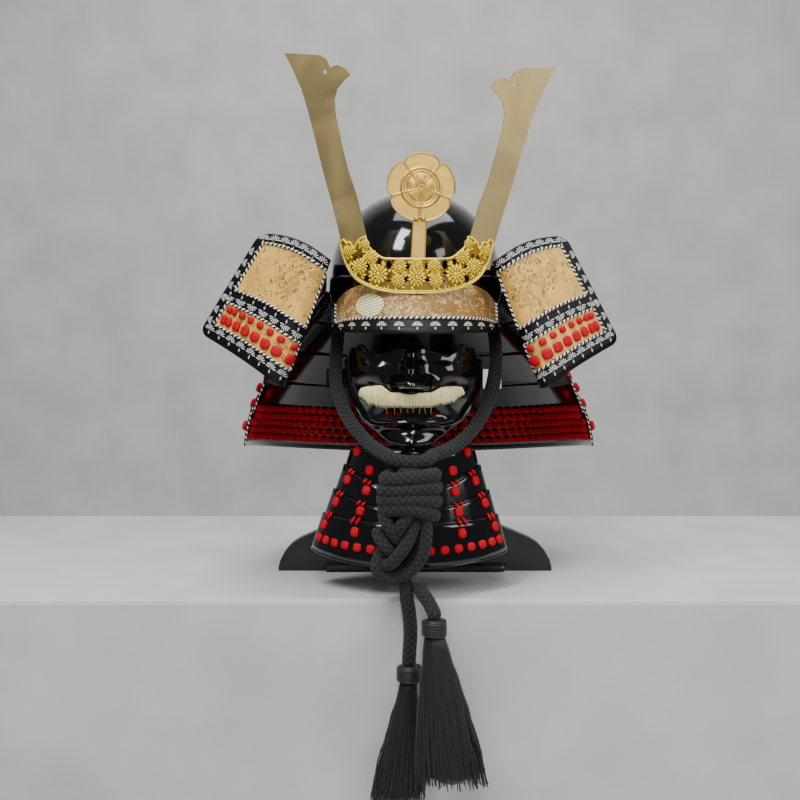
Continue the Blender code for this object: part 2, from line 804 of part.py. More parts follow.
def crest_outline():
    points = []
    for lobe in range(CREST_LOBES):
        start = math.radians(-90) + math.tau / CREST_LOBES * lobe
        points.append((start, CREST_RADIUS - CREST_NOTCH_DEPTH))
        for share, size in ((0.07, 0.935), (0.23, 0.985), (0.5, 1.0), (0.77, 0.985), (0.93, 0.935)):
            points.append((start + math.tau / CREST_LOBES * share, CREST_RADIUS * size))
    return [(r * math.cos(a), r * math.sin(a)) for a, r in points]


def lean_about_stem(obj):
    """Leans a piece of the crest sideways about the foot of its stem."""
    pivot = Matrix.Translation((0.0, 0.0, STEM_FOOT_Z))
    obj.data.transform(pivot @ Matrix.Rotation(CREST_LEAN, 4, "Y") @ pivot.inverted())


def crest():
    back = stem_front_y() - FIT_GAP
    front = back - CREST_WALL
    disc = plate("crest", [(x, z + CREST_CENTRE_Z) for x, z in crest_outline()], front, back, "gilt_metal")
    relief = bmesh.new()
    sides = 4 * CREST_LOBES
    inner, outer = CREST_RING_RADIUS - CREST_RING_WIDTH, CREST_RING_RADIUS
    corners = [(inner, front + CREST_WALL / 2), (inner, front - CREST_RELIEF),
               (outer, front - CREST_RELIEF), (outer, front + CREST_WALL / 2)]
    angles = [math.tau * i / sides for i in range(sides)]
    rings = [[relief.verts.new((r * math.cos(a), y, CREST_CENTRE_Z + r * math.sin(a))) for a in angles]
             for r, y in corners]
    for one, two in zip(rings, rings[1:] + rings[:1]):
        for i in range(sides):
            j = (i + 1) % sides
            relief.faces.new((one[i], one[j], two[j], two[i]))
    for lobe in range(CREST_LOBES):
        angle = math.radians(90) + math.tau / CREST_LOBES * lobe
        reach = inner * 0.60
        cone(relief, inner * 0.34, inner * 0.24, CREST_RELIEF + CREST_WALL / 2, 7,
             (reach * math.cos(angle), front + CREST_WALL / 2, CREST_CENTRE_Z + reach * math.sin(angle)))
    cone(relief, inner * 0.20, inner * 0.13, CREST_RELIEF + CREST_WALL / 2, 8,
         (0.0, front + CREST_WALL / 2, CREST_CENTRE_Z))
    bmesh.ops.recalc_face_normals(relief, faces=relief.faces)
    raised = add_bmesh("relief", relief, "gilt_metal")
    lean_about_stem(disc)
    lean_about_stem(raised)
    combine(disc, raised, "UNION")


def crest_stem():
    front = stem_front_y()
    half = STEM_WIDTH / 2
    top = CREST_CENTRE_Z - CREST_RING_RADIUS * 0.4
    outline = [(-half, STEM_FOOT_Z), (half, STEM_FOOT_Z), (half * 0.85, top), (-half * 0.85, top)]
    lean_about_stem(plate("crest_stem", outline, front, front + STEM_WALL, "gilt_metal"))


def horn(name, side, lean, lift):
    """A flat horn: its outline is drawn over its socket, then toed, leaned and set behind the holder."""
    sheet_outline = [(HORN_FOOT_HALF_WIDTH, -HORN_SOCKET_DEPTH), (HORN_FOOT_HALF_WIDTH * 1.10, 0.0)]
    sheet_outline += [(a * HORN_SPREAD, u * HORN_HEIGHT) for a, u in HORN_OUTLINE]
    sheet_outline += [(-HORN_FOOT_HALF_WIDTH * 1.10, 0.0), (-HORN_FOOT_HALF_WIDTH, -HORN_SOCKET_DEPTH)]
    obj = plate(name, [(side * x, z) for x, z in sheet_outline], 0.0, HORN_WALL, "satin_brass")
    hole = bmesh.new()
    across, up = HORN_HOLE_PLACE
    cone(hole, HORN_HOLE_RADIUS, HORN_HOLE_RADIUS, 6 * HORN_WALL, 8,
         (side * across * HORN_SPREAD, 3.5 * HORN_WALL, up * HORN_HEIGHT))
    cutter = add_bmesh(name + "_hole", hole, "satin_brass")
    toe = math.atan(HORN_CENTRE_X / HOLDER_BEND_RADIUS)
    y = holder_front_y(HORN_CENTRE_X) + (HOLDER_WALL + FIT_GAP) / math.cos(toe) + HORN_PLAY
    y -= lift * math.tan(HORN_FORWARD_LEAN)
    z = holder_foot_z() + HOLDER_HEIGHT * 0.93 + lift
    place = Matrix.Translation((side * HORN_CENTRE_X, y, z))
    turn = Matrix.Rotation(side * toe, 4, "Z") @ Matrix.Rotation(side * lean, 4, "Y")
    turn = turn @ Matrix.Rotation(HORN_FORWARD_LEAN, 4, "X")
    for part in (obj, cutter):
        part.data.transform(place @ turn)
    combine(obj, cutter, "DIFFERENCE")


# Face mask

def mask_base(angle, up):
    """A point of the mask's front face: angle from its middle, up from 0 at the chin to 1 at the brow."""
    below = max(0.0, MASK_WIDEST_SHARE - up) / (MASK_WIDEST_SHARE + 0.04)
    half_width = MASK_HALF_WIDTH * math.sqrt(max(0.0, 1 - below ** 2))
    x = half_width * math.sin(angle)
    reach = MASK_REACH * read_table(MASK_PROFILE, up, 1) * max(0.0, math.cos(angle)) ** 0.85
    width = NOSE_HALF_WIDTH * read_table(MASK_PROFILE, up, 3)
    reach += NOSE_REACH * read_table(MASK_PROFILE, up, 2) * math.exp(-((x / width) ** 2))
    cheek = math.exp(-(((abs(x) - 0.55 * MASK_HALF_WIDTH) / (0.20 * MASK_HALF_WIDTH)) ** 2))
    reach += MASK_CHEEK_BULGE * cheek * math.exp(-(((up - 0.71) / 0.09) ** 2))
    reach -= MASK_CHEEK_BULGE * cheek * math.exp(-(((up - 0.585) / 0.05) ** 2))
    return Vector((x, MASK_SIDE_Y - reach, MASK_CHIN_Z + MASK_HEIGHT * up))


def mask_edges(angle):
    """The share of the mask's height at its lower and upper edge."""
    lower = MASK_JAW_RISE / MASK_HEIGHT * math.sin(angle) ** 2
    return lower, 1 - read_table(MASK_RIM, abs(math.sin(angle)), 1)


def turn_face(obj):
    """Turns a piece of the mask or the throat guard about the helmet's upright axis."""
    obj.data.transform(Matrix.Rotation(FACE_TURN_ANGLE, 4, "Z"))


def mask_point(u, v):
    across = 2 * u - 1
    angle = math.radians(89) * (0.62 * across + 0.38 * across ** 3)
    lower, upper = mask_edges(angle)
    return mask_base(angle, mixed(upper, lower, v))


def mask():
    obj = sheet("mask", MASK_COLUMNS, MASK_ROWS, mask_point, MASK_WALL, "black_lacquer", side=1.0)
    cutters = bmesh.new()
    mouth_z = MASK_CHIN_Z + MASK_HEIGHT * MOUTH_SHARE
    half = MOUTH_HEIGHT / 2
    turns = [math.radians(d) for d in (-90, -45, 0, 45, 90)]
    right = [(MOUTH_HALF_WIDTH - half + half * math.cos(a), mouth_z + half * math.sin(a)) for a in turns]
    slot = right + [(-x, z) for x, z in right[::-1]]
    front = MASK_SIDE_Y - 1.5 * MASK_REACH
    extruded(cutters, slot, front, MASK_SIDE_Y - 0.4 * MASK_REACH)
    nostril_z = MASK_CHIN_Z + MASK_HEIGHT * NOSTRIL_SHARE
    for side in (-1, 1):
        cone(cutters, NOSTRIL_RADIUS, NOSTRIL_RADIUS, 0.6 * MASK_REACH, 8,
             (side * NOSTRIL_OFFSET, MASK_SIDE_Y - 0.9 * MASK_REACH, nostril_z))
    bmesh.ops.recalc_face_normals(cutters, faces=cutters.faces)
    openings = add_bmesh("mask_openings", cutters, "black_lacquer")
    turn_face(obj)
    turn_face(openings)
    # Flat triangles first, so that the cut faces stay flat too.
    obj.modifiers.new("Triangles", "TRIANGULATE")
    combine(obj, openings, "DIFFERENCE")


def cheek_flange(name, side):
    """A flat ear at the mask's edge, which keeps the cord in place."""
    top = MASK_CHIN_Z + MASK_HEIGHT * FLANGE_TOP_SHARE
    inner = MASK_HALF_WIDTH + FIT_GAP
    xs = sorted((side * inner, side * (inner + FLANGE_WIDTH)))
    turn_face(block(name, (xs[0], MASK_SIDE_Y - FLANGE_WALL, top - FLANGE_HEIGHT), (xs[1], MASK_SIDE_Y, top),
                    "black_lacquer"))


def moustache():
    def place(u, v):
        across = 2 * u - 1
        x = across * MOUSTACHE_HALF_WIDTH
        taper = math.sqrt(max(0.0, 1 - abs(across) ** 3))
        middle = MOUSTACHE_MID_SHARE * MASK_HEIGHT + MOUSTACHE_SMILE * across ** 2
        z = middle + mixed(MOUSTACHE_END_HEIGHT, MOUSTACHE_HEIGHT, taper) * (0.5 - v)
        up = z / MASK_HEIGHT
        below = max(0.0, MASK_WIDEST_SHARE - up) / (MASK_WIDEST_SHARE + 0.04)
        half_width = MASK_HALF_WIDTH * math.sqrt(1 - below ** 2)
        return set_off(mask_base, math.asin(max(-1.0, min(1.0, x / half_width))), up, MOUSTACHE_STAND_OFF)

    turn_face(sheet("moustache", 16, 2, place, MOUSTACHE_PROUD, "cream_hair", side=-1.0))


# Throat guard

def throat_base(angle, drop):
    """A point of the throat guard's form before it sags: angle from its middle, drop 0 at its top."""
    half_width = mixed(THROAT_TOP_HALF_WIDTH, THROAT_FOOT_HALF_WIDTH, drop)
    top_depth = THROAT_END_Y - mask_base(0.0, 0.0).y
    depth = mixed(top_depth, THROAT_FOOT_DEPTH, drop)
    bow = (math.cos(angle) - math.cos(THROAT_ARC)) / (1 - math.cos(THROAT_ARC))
    z = MASK_CHIN_Z - FIT_GAP - THROAT_HEIGHT * drop
    x = half_width * math.sin(angle) / math.sin(THROAT_ARC) + THROAT_DRIFT * drop
    return Vector((x, THROAT_END_Y - depth * bow, z))


def throat_point(index, angle, share, out):
    top, foot, top_sag, foot_sag = THROAT_LAMES[index]
    sag = THROAT_SAG * mixed(top_sag, foot_sag, share) * math.cos(angle) ** 2
    # The form's normal points inwards, so a step outwards is negative.
    out += index * (LAME_WALL + THROAT_LAME_GAP)
    point = set_off(throat_base, angle, mixed(top, foot, share), -out)
    return point - Vector((0.0, 0.0, sag))


def throat_lame(index):
    def place(u, v):
        return throat_point(index, mixed(-THROAT_ARC, THROAT_ARC, u), v, 0.0)

    turn_face(sheet(f"throat_lame_{index + 1}", 18, 2, place, LAME_WALL, "black_lacquer", side=1.0))


def throat_lacing():
    """The row of lacing along the lowest lame."""
    last = len(THROAT_LAMES) - 1
    top, foot = THROAT_LAMES[last][:2]
    middle = (THROAT_LACING_SHARE - top) / (foot - top)
    half = THROAT_LACING_WIDTH / 2 / (THROAT_HEIGHT * (foot - top))

    def place(u, v):
        angle = mixed(-THROAT_ARC, THROAT_ARC, mixed(0.02, 0.98, u))
        return throat_point(last, angle, mixed(middle - half, middle + half, v), THROAT_LACING_PLAY)

    turn_face(sheet("throat_lacing", 18, 1, place, THROAT_LACING_PROUD, "red_lacing", side=-1.0))


# Cords, knot and tassels

def oval(centre, half_width, half_depth, sides, locks=0, depth=0.0):
    """A level ring of points, with a groove between locks if there are any."""
    points = []
    for i in range(sides):
        angle = math.tau * i / sides
        size = 1 - depth * (0.5 + 0.5 * math.cos(locks * angle)) if locks else 1.0
        points.append(Vector((centre[0] + half_width * size * math.cos(angle),
                              centre[1] + half_depth * size * math.sin(angle), centre[2])))
    return points


def knot_wrap():
    rings = []
    turn = (WRAP_TOP_Z - WRAP_FOOT_Z) / WRAP_TURNS
    for i in range(WRAP_TURNS):
        for share, size in ((0.04, 0.88), (0.32, 1.0), (0.68, 1.0), (0.96, 0.88)):
            z = WRAP_TOP_Z - turn * (i + share)
            rings.append(oval((WRAP_CENTRE_X, KNOT_CENTRE_Y, z), WRAP_HALF_WIDTH * size,
                              WRAP_HALF_DEPTH * size, KNOT_SIDES))
    loft("knot_wrap", rings, "black_cord")


def knot_braid():
    top = WRAP_FOOT_Z - FIT_GAP
    rings = []
    for share, size in ((0.0, 0.80), (0.20, 1.0), (0.50, 0.98), (0.80, 1.0), (0.94, 0.88), (1.0, 0.70)):
        x, z = mixed(BRAID_TOP_X, BRAID_FOOT_X, share), mixed(top, BRAID_FOOT_Z, share)
        rings.append(oval((x, KNOT_CENTRE_Y, z), BRAID_HALF_WIDTH * size,
                          BRAID_HALF_DEPTH * mixed(0.7, 1.0, size), KNOT_SIDES))
    loft("knot_braid", rings, "black_cord")


def tassel(name, route, length, half_width, drift):
    """A wrapped head and a skirt of locks, fused in one body."""
    end = Vector(route[-1])
    top = end.z - FIT_GAP
    rings = [oval((end.x, end.y, top - TASSEL_HEAD_HEIGHT * share), TASSEL_HEAD_RADIUS * size,
                  TASSEL_HEAD_RADIUS * size, TASSEL_SIDES)
             for share, size in ((0.0, 0.80), (0.25, 1.0), (0.75, 1.0))]
    foot = top - TASSEL_HEAD_HEIGHT - length
    for share, wide in ((0.0, 0.26), (0.15, 0.42), (0.35, 0.62), (0.60, 0.80), (0.85, 0.95), (1.0, 1.0)):
        deep = mixed(TASSEL_HEAD_RADIUS * 0.8, TASSEL_HALF_DEPTH, eased(share))
        centre = (end.x + drift * share, end.y, mixed(top - TASSEL_HEAD_HEIGHT, foot, share))
        rings.append(oval(centre, max(half_width * wide, TASSEL_HEAD_RADIUS * 0.8), deep, TASSEL_SIDES,
                          TASSEL_LOCKS, TASSEL_LOCK_DEPTH * eased(share)))
    loft(name, rings, "black_cord")


# Stand

def stand():
    foot = block("stand_foot", (-FOOT_HALF_WIDTH, FOOT_FRONT_Y, 0.0),
                 (FOOT_HALF_WIDTH, FOOT_BACK_Y, FOOT_THICKNESS), "black_wood")
    rounding = foot.modifiers.new("Round", "BEVEL")
    rounding.width = FOOT_ROUND
    rounding.segments = 2

    right = [(a * BOARD_HALF_WIDTH, u * BOARD_HEIGHT) for a, u in BOARD_OUTLINE]
    notch = [(FOOT_HALF_WIDTH + FIT_GAP, FOOT_THICKNESS + FIT_GAP), (FOOT_HALF_WIDTH + FIT_GAP, 0.0)]
    left = [(-x, z) for x, z in (notch + right)[::-1]]
    plate("stand_board", notch + right + left, BOARD_FRONT_Y, BOARD_FRONT_Y + BOARD_THICKNESS, "black_wood")

    post_front = BOARD_FRONT_Y + BOARD_THICKNESS + FIT_GAP
    block("stand_post", (-POST_SIDE / 2, post_front, FOOT_THICKNESS + FIT_GAP),
          (POST_SIDE / 2, post_front + POST_SIDE, HEAD_BLOCK_FOOT_Z - FIT_GAP), "black_wood")

    rings = []
    for z in (HEAD_BLOCK_FOOT_Z + HEAD_BLOCK_HEIGHT, HEAD_BLOCK_FOOT_Z):
        rise = (z - BOWL_SPRING_Z) / (BOWL_DOME_HEIGHT - BOWL_WALL)
        share = math.sqrt(1 - rise ** 2)
        inset = BOWL_WALL + HEAD_BLOCK_PLAY
        rings.append(oval((0.0, 0.0, z), (BOWL_HALF_WIDTH - inset) * share,
                          (BOWL_HALF_LENGTH - inset) * share, BOWL_SIDES))
    loft("stand_head", rings, "black_wood")

    corner = math.asin(REST_HALF_WIDTH / MASK_HALF_WIDTH * 1.2)
    levels = (REST_SHARE, REST_SHARE + REST_THICKNESS / MASK_HEIGHT)
    inner = [set_off(mask_base, corner, level, -MASK_WALL).y for level in levels]
    low = MASK_CHIN_Z + MASK_HEIGHT * REST_SHARE
    block("stand_rest", (-REST_HALF_WIDTH, max(inner) + REST_PLAY, low),
          (REST_HALF_WIDTH, post_front - FIT_GAP, low + REST_THICKNESS), "black_wood")


def main():
    clear_scene()
    bowl()
    waist_band()
    visor()
    for index in range(NECK_LAMES):
        neck_lame(index)
    for row in range(LACING_ROWS):
        neck_lacing(row)
    for name, (side, top, foot) in WINGS.items():
        wing(name, side, top, foot)
    crest_holder()
    holder_pin()
    crest()
    crest_stem()
    for name, seat in HORN_SEATS.items():
        horn(name, **seat)
    mask()
    cheek_flange("cheek_flange_left", -1)
    cheek_flange("cheek_flange_right", 1)
    moustache()
    for index in range(len(THROAT_LAMES)):
        throat_lame(index)
    throat_lacing()
    knot_wrap()
    knot_braid()
    for name, points in (CHIN_CORD_ROUTES | CORD_END_ROUTES).items():
        cord(name, smooth_route([Vector(p) for p in points], CORD_STEP))
    for name, row in TASSELS.items():
        tassel(name, CORD_END_ROUTES[row["cord"]], row["length"], row["half_width"], row["drift"])
    stand()


main()
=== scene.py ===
"""Studio scene for a samurai helmet with its face mask, throat guard and tasselled chin cord, on its stand.

Metres, +Z up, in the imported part's frame. The front faces -Y. Left and right are as seen from the front.
"""

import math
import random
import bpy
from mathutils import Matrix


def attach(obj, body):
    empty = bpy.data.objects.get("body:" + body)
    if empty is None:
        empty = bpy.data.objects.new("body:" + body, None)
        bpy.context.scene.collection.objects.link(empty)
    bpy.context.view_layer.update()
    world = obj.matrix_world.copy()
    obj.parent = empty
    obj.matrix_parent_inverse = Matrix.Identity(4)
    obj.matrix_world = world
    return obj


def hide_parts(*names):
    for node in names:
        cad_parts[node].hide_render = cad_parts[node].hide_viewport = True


bl_info = {
    "name": "Samurai Helmet on Its Stand",
    "version": (1, 0, 0),
    "blender": (4, 5, 0),
    "location": "3D View > Sidebar > Helmet",
    "description": "Dresses the helmet's fixed frame in lacquer, gilt, lacing, cord, hair and wood",
    "category": "Object",
}

import bmesh
import bpy
from mathutils import Matrix, Vector

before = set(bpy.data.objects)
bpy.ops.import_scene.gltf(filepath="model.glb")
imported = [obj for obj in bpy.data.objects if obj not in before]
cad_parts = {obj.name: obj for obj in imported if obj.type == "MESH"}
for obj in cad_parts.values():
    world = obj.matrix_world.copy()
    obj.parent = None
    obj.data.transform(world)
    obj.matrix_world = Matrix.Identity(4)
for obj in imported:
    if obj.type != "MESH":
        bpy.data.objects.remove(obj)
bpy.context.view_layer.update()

# The forms below repeat the part's own named sizes, in metres.
FIT_GAP = 0.0004
LAME_GAP = 0.0007
BOWL_HALF_WIDTH = 0.100
BOWL_HALF_LENGTH = 0.120
BOWL_DOME_HEIGHT = 0.100
BOWL_SPRING_Z = 0.350
BOWL_SKIRT = 0.022
BOWL_WALL = 0.0025
BAND_HEIGHT = 0.034
BAND_FLARE = 0.0015
BAND_WALL = 0.0018
VISOR_SPAN = math.radians(66)
VISOR_ROOT_DROP = 0.008
VISOR_RIM_HALF_WIDTH = 0.0958
VISOR_REACH = 0.058
VISOR_DROP = 0.0545
VISOR_END_HEIGHT = 0.0185
VISOR_CROWN = 0.0020
VISOR_WALL = 0.0020
NECK_LAMES = 5
NECK_LAP_SHARE = 0.24
NECK_TOP_DROP = 0.016
NECK_HEIGHT = 0.174
NECK_DIP = 0.0425
NECK_FOOT_HALF_WIDTH = 0.194
NECK_RIGHT_FLARE = 0.008
NECK_FOOT_HALF_LENGTH = 0.206
NECK_FULLNESS = 1.6
NECK_END_ANGLE = math.radians(98)
LAME_WALL = 0.0016
LACING_ROWS = 5
LACING_FOOT_SHARE = 0.040
LACING_PITCH_SHARE = 0.046
WING_WALL = 0.0026
WING_BEND_RADIUS = 0.018
WING_SWEEP = math.radians(30)
WING_CORNER_RADIUS = 0.011
WING_FRONT_Y = -0.125
WING_TOP_BOW = 0.0080
WING_FOOT_BOW = 0.0020
WINGS = {
    # name: side, then x, z, width, tilt at the top and at the foot
    "wing_left": (-1, (0.0935, 0.3655, 0.0860, 21), (0.1455, 0.2260, 0.1160, 31)),
    "wing_right": (1, (0.0835, 0.3635, 0.0875, 20), (0.1365, 0.2245, 0.1065, 29)),
}
FACE_TURN = math.radians(-2.5)
MASK_CHIN_Z = 0.1560
MASK_HEIGHT = 0.1255
MASK_HALF_WIDTH = 0.0790
MASK_WIDEST_SHARE = 0.72
MASK_SIDE_Y = -0.055
MASK_WALL = 0.0024
MASK_JAW_RISE = 0.048
MASK_CHEEK_BULGE = 0.0045
MASK_REACH = 0.087
NOSE_REACH = 0.027
NOSE_HALF_WIDTH = 0.021
MASK_PROFILE = (
    # up, reach, nose, nose_width
    (0.00, 0.86, 0.00, 0.90),
    (0.09, 1.00, 0.00, 0.90),
    (0.18, 0.94, 0.00, 0.90),
    (0.26, 1.00, 0.00, 0.90),
    (0.34, 0.95, 0.00, 0.90),
    (0.46, 0.97, 0.00, 1.00),
    (0.53, 0.97, 0.08, 1.00),
    (0.60, 0.96, 1.00, 0.90),
    (0.71, 0.93, 0.70, 0.50),
    (0.85, 0.89, 0.42, 0.40),
    (1.00, 0.85, 0.20, 0.45),
)
MASK_RIM = (
    # across as a share of the half width, drop as a share of the height
    (0.00, 0.000),
    (0.08, 0.004),
    (0.14, 0.060),
    (0.30, 0.130),
    (0.49, 0.172),
    (0.58, 0.138),
    (0.70, 0.070),
    (0.84, 0.105),
    (1.00, 0.240),
)
MOUTH_HALF_WIDTH = 0.031
MOUTH_HEIGHT = 0.0095
MOUTH_SHARE = 0.345
NOSTRIL_RADIUS = 0.0041
NOSTRIL_OFFSET = 0.0177
NOSTRIL_SHARE = 0.585
MOUSTACHE_HALF_WIDTH = 0.0545
MOUSTACHE_STAND_OFF = 0.0032
MOUSTACHE_SHAPE = (
    # across as a share of the half width, foot and top above the chin
    (-1.00, 0.0600, 0.0690),
    (-0.80, 0.0525, 0.0712),
    (-0.60, 0.0500, 0.0742),
    (-0.30, 0.0506, 0.0668),
    (0.00, 0.0500, 0.0650),
    (0.30, 0.0506, 0.0676),
    (0.60, 0.0530, 0.0718),
    (0.80, 0.0555, 0.0712),
    (1.00, 0.0625, 0.0705),
)
THROAT_HEIGHT = 0.1150
THROAT_TOP_HALF_WIDTH = 0.070
THROAT_FOOT_HALF_WIDTH = 0.1045
THROAT_DRIFT = -0.0040
THROAT_END_Y = -0.088
THROAT_FOOT_DEPTH = 0.056
THROAT_ARC = math.radians(72)
THROAT_SAG = 0.0280
THROAT_LAME_GAP = 0.0009
THROAT_LAMES = (
    # top, foot, top_sag, foot_sag
    (0.00, 0.185, 0.00, 1.00),
    (0.135, 0.46, 1.00, 0.62),
    (0.39, 0.72, 0.65, 0.12),
    (0.645, 1.00, 0.08, 0.30),
)
THROAT_LACING_SHARE = 0.865
KNOT_CENTRE_Y = -0.1775
WRAP_TOP_Z = 0.1500
WRAP_FOOT_Z = 0.0930
WRAP_HALF_WIDTH = 0.0355
WRAP_HALF_DEPTH = 0.0225
WRAP_TURNS = 4
WRAP_CENTRE_X = -0.008
WRAP_SHAPE = (
    # down, width, slant, and how far the turn arches up in front
    (0.00, 0.90, 0.22, 0.000),
    (0.35, 1.00, 0.16, 0.000),
    (0.70, 1.00, 0.06, 0.002),
    (1.00, 0.90, -0.06, 0.006),
)
WRAP_BRIDGE = (
    (-0.0335, -0.1610, 0.1578),
    (-0.0240, -0.1760, 0.1540),
    (-0.0080, -0.1830, 0.1520),
    (0.0080, -0.1785, 0.1530),
    (0.0170, -0.1630, 0.1575),
)
# Strands of the plait, each from under the wrap or the strand before it
BRAID_STRANDS = (
    # the large outer loop
    ((0.0026, -0.1780, 0.1060), (0.0084, -0.1830, 0.0908), (0.0095, -0.1840, 0.0752),
     (0.0071, -0.1830, 0.0574), (-0.0007, -0.1810, 0.0430), (-0.0130, -0.1800, 0.0324),
     (-0.0275, -0.1800, 0.0279), (-0.0392, -0.1810, 0.0329), (-0.0425, -0.1800, 0.0430),
     (-0.0386, -0.1750, 0.0541), (-0.0330, -0.1700, 0.0640)),
    # the long front strand
    ((-0.0007, -0.1780, 0.1000), (-0.0041, -0.1850, 0.0830), (-0.0108, -0.1885, 0.0674),
     (-0.0208, -0.1890, 0.0530), (-0.0297, -0.1860, 0.0441), (-0.0330, -0.1780, 0.0440),
     (-0.0290, -0.1700, 0.0500)),
    # the upper left strand
    ((-0.0350, -0.1740, 0.1000), (-0.0340, -0.1830, 0.0930), (-0.0290, -0.1860, 0.0835),
     (-0.0219, -0.1830, 0.0725), (-0.0130, -0.1730, 0.0608)),
    # the lower left strand
    ((-0.0420, -0.1710, 0.0780), (-0.0397, -0.1780, 0.0719), (-0.0336, -0.1820, 0.0630),
     (-0.0263, -0.1790, 0.0541), (-0.0200, -0.1700, 0.0470)),
    # the upper middle strand
    ((-0.0018, -0.1790, 0.1070), (-0.0090, -0.1885, 0.0980), (-0.0165, -0.1900, 0.0870),
     (-0.0208, -0.1840, 0.0786), (-0.0215, -0.1730, 0.0730)),
    # two strands behind
    ((0.0060, -0.1690, 0.1000), (-0.0120, -0.1680, 0.0780), (-0.0300, -0.1680, 0.0560),
     (-0.0340, -0.1690, 0.0380)),
    ((-0.0340, -0.1690, 0.1000), (-0.0160, -0.1670, 0.0800), (0.0000, -0.1680, 0.0600),
     (-0.0060, -0.1690, 0.0420), (-0.0200, -0.1700, 0.0330)),
)
CORD_DIAMETER = 0.0150
CHIN_CORD_ROUTES = {
    "chin_cord_left": (
        (-0.0878, -0.0180, 0.3290),
        (-0.0885, -0.0300, 0.3030),
        (-0.0900, -0.0460, 0.2768),
        (-0.0912, -0.0620, 0.2543),
        (-0.0905, -0.0715, 0.2309),
        (-0.0850, -0.0820, 0.2090),
        (-0.0730, -0.1010, 0.1869),
        (-0.0540, -0.1280, 0.1680),
        (-0.0410, -0.1480, 0.1600),
        (-0.0305, -0.1660, 0.1570),
    ),
    "chin_cord_right": (
        (0.0878, -0.0180, 0.3290),
        (0.0885, -0.0300, 0.3030),
        (0.0915, -0.0460, 0.2768),
        (0.0910, -0.0680, 0.2543),
        (0.0885, -0.0765, 0.2309),
        (0.0820, -0.0830, 0.2090),
        (0.0690, -0.1010, 0.1869),
        (0.0510, -0.1250, 0.1700),
        (0.0330, -0.1480, 0.1610),
        (0.0150, -0.1656, 0.1571),
    ),
}
CORD_END_ROUTES = {
    "cord_end_left": (
        (-0.0110, -0.1730, 0.0150),
        (-0.0108, -0.1731, 0.0060),
        (-0.0080, -0.1738, -0.0120),
        (-0.0068, -0.1740, -0.0300),
        (-0.0078, -0.1745, -0.0500),
        (-0.0084, -0.1750, -0.0600),
        (-0.0084, -0.1750, -0.0660),
    ),
    "cord_end_right": (
        (0.0042, -0.1792, 0.0148),
        (0.0110, -0.1900, 0.0070),
        (0.0162, -0.2000, -0.0010),
        (0.0175, -0.2040, -0.0045),
        (0.0175, -0.2040, -0.0090),
    ),
}
TASSEL_HEAD_RADIUS = 0.0125
TASSEL_HEAD_HEIGHT = 0.0165
TASSEL_HALF_DEPTH = 0.0140
TASSELS = {
    "tassel_left": {"cord": "cord_end_left", "length": 0.138, "half_width": 0.029, "drift": -0.0125},
    "tassel_right": {"cord": "cord_end_right", "length": 0.1655, "half_width": 0.040, "drift": 0.019},
}
HOLDER_HALF_WIDTH = 0.083
HOLDER_HEIGHT = 0.060
HOLDER_WALL = 0.0022
HOLDER_BEND_RADIUS = 0.20
HOLDER_STAND_OFF = 0.0205
# Outline of the holder's right half in shares of its half width and height, in runs between its corners
HOLDER_OUTLINE = (
    ((0.00, 0.000), (0.30, 0.015), (0.58, 0.100), (0.80, 0.270), (0.93, 0.560), (1.00, 0.910)),
    ((1.00, 0.910), (0.955, 0.955), (0.92, 0.900), (0.87, 0.905), (0.81, 0.780)),
    ((0.81, 0.780), (0.785, 0.880), (0.74, 0.960), (0.665, 1.000)),
    ((0.665, 1.000), (0.62, 0.820), (0.47, 0.640), (0.34, 0.605), (0.00, 0.600)),
)
# Raised flowers and cut gaps: across, up and radius, the right half's in shares as above
HOLDER_FLOWERS = (
    (0.222, 0.475, 0.100),
    (0.245, 0.215, 0.100),
    (0.500, 0.335, 0.140),
    (0.590, 0.640, 0.105),
    (0.740, 0.475, 0.115),
    (0.670, 0.870, 0.070),
    (0.890, 0.750, 0.080),
)
HOLDER_MIDDLE = ((0.0, 0.270, 0.135), (0.0, 0.500, 0.090))
HOLDER_GAPS = (
    (0.120, 0.475, 0.036),
    (0.125, 0.210, 0.050),
    (0.360, 0.500, 0.048),
    (0.365, 0.170, 0.045),
    (0.360, 0.330, 0.030),
    (0.480, 0.555, 0.040),
    (0.640, 0.250, 0.048),
    (0.640, 0.470, 0.034),
    (0.720, 0.660, 0.030),
    (0.790, 0.620, 0.036),
    (0.850, 0.400, 0.036),
    (0.300, 0.560, 0.026),
    (0.600, 0.780, 0.026),
)
# Two rings of petals: how far out, how long, both as shares of the flower, how many, and how far in front
HOLDER_PETALS = ((0.80, 0.34, 13, 0.0010), (0.46, 0.26, 9, 0.0026))
HOLDER_SCROLLS = (
    # across, up, radius as a share of the height, start angle
    (0.300, 0.400, 0.060, 0.6),
    (0.400, 0.100, 0.050, 2.4),
    (0.430, 0.540, 0.050, 3.6),
    (0.610, 0.180, 0.055, 1.2),
    (0.690, 0.310, 0.050, 4.4),
    (0.660, 0.740, 0.050, 0.2),
    (0.800, 0.340, 0.045, 5.2),
    (0.840, 0.560, 0.050, 2.8),
    (0.930, 0.850, 0.040, 1.8),
)
CREST_RADIUS = 0.0365
CREST_WALL = 0.0014
CREST_CENTRE_Z = 0.4410
CREST_RING_RADIUS = 0.0215
CREST_RING_WIDTH = 0.0022
CREST_LOBES = 5
CREST_LEAN = math.radians(2.5)
STEM_WIDTH = 0.0160
STEM_FOOT_Z = 0.3380

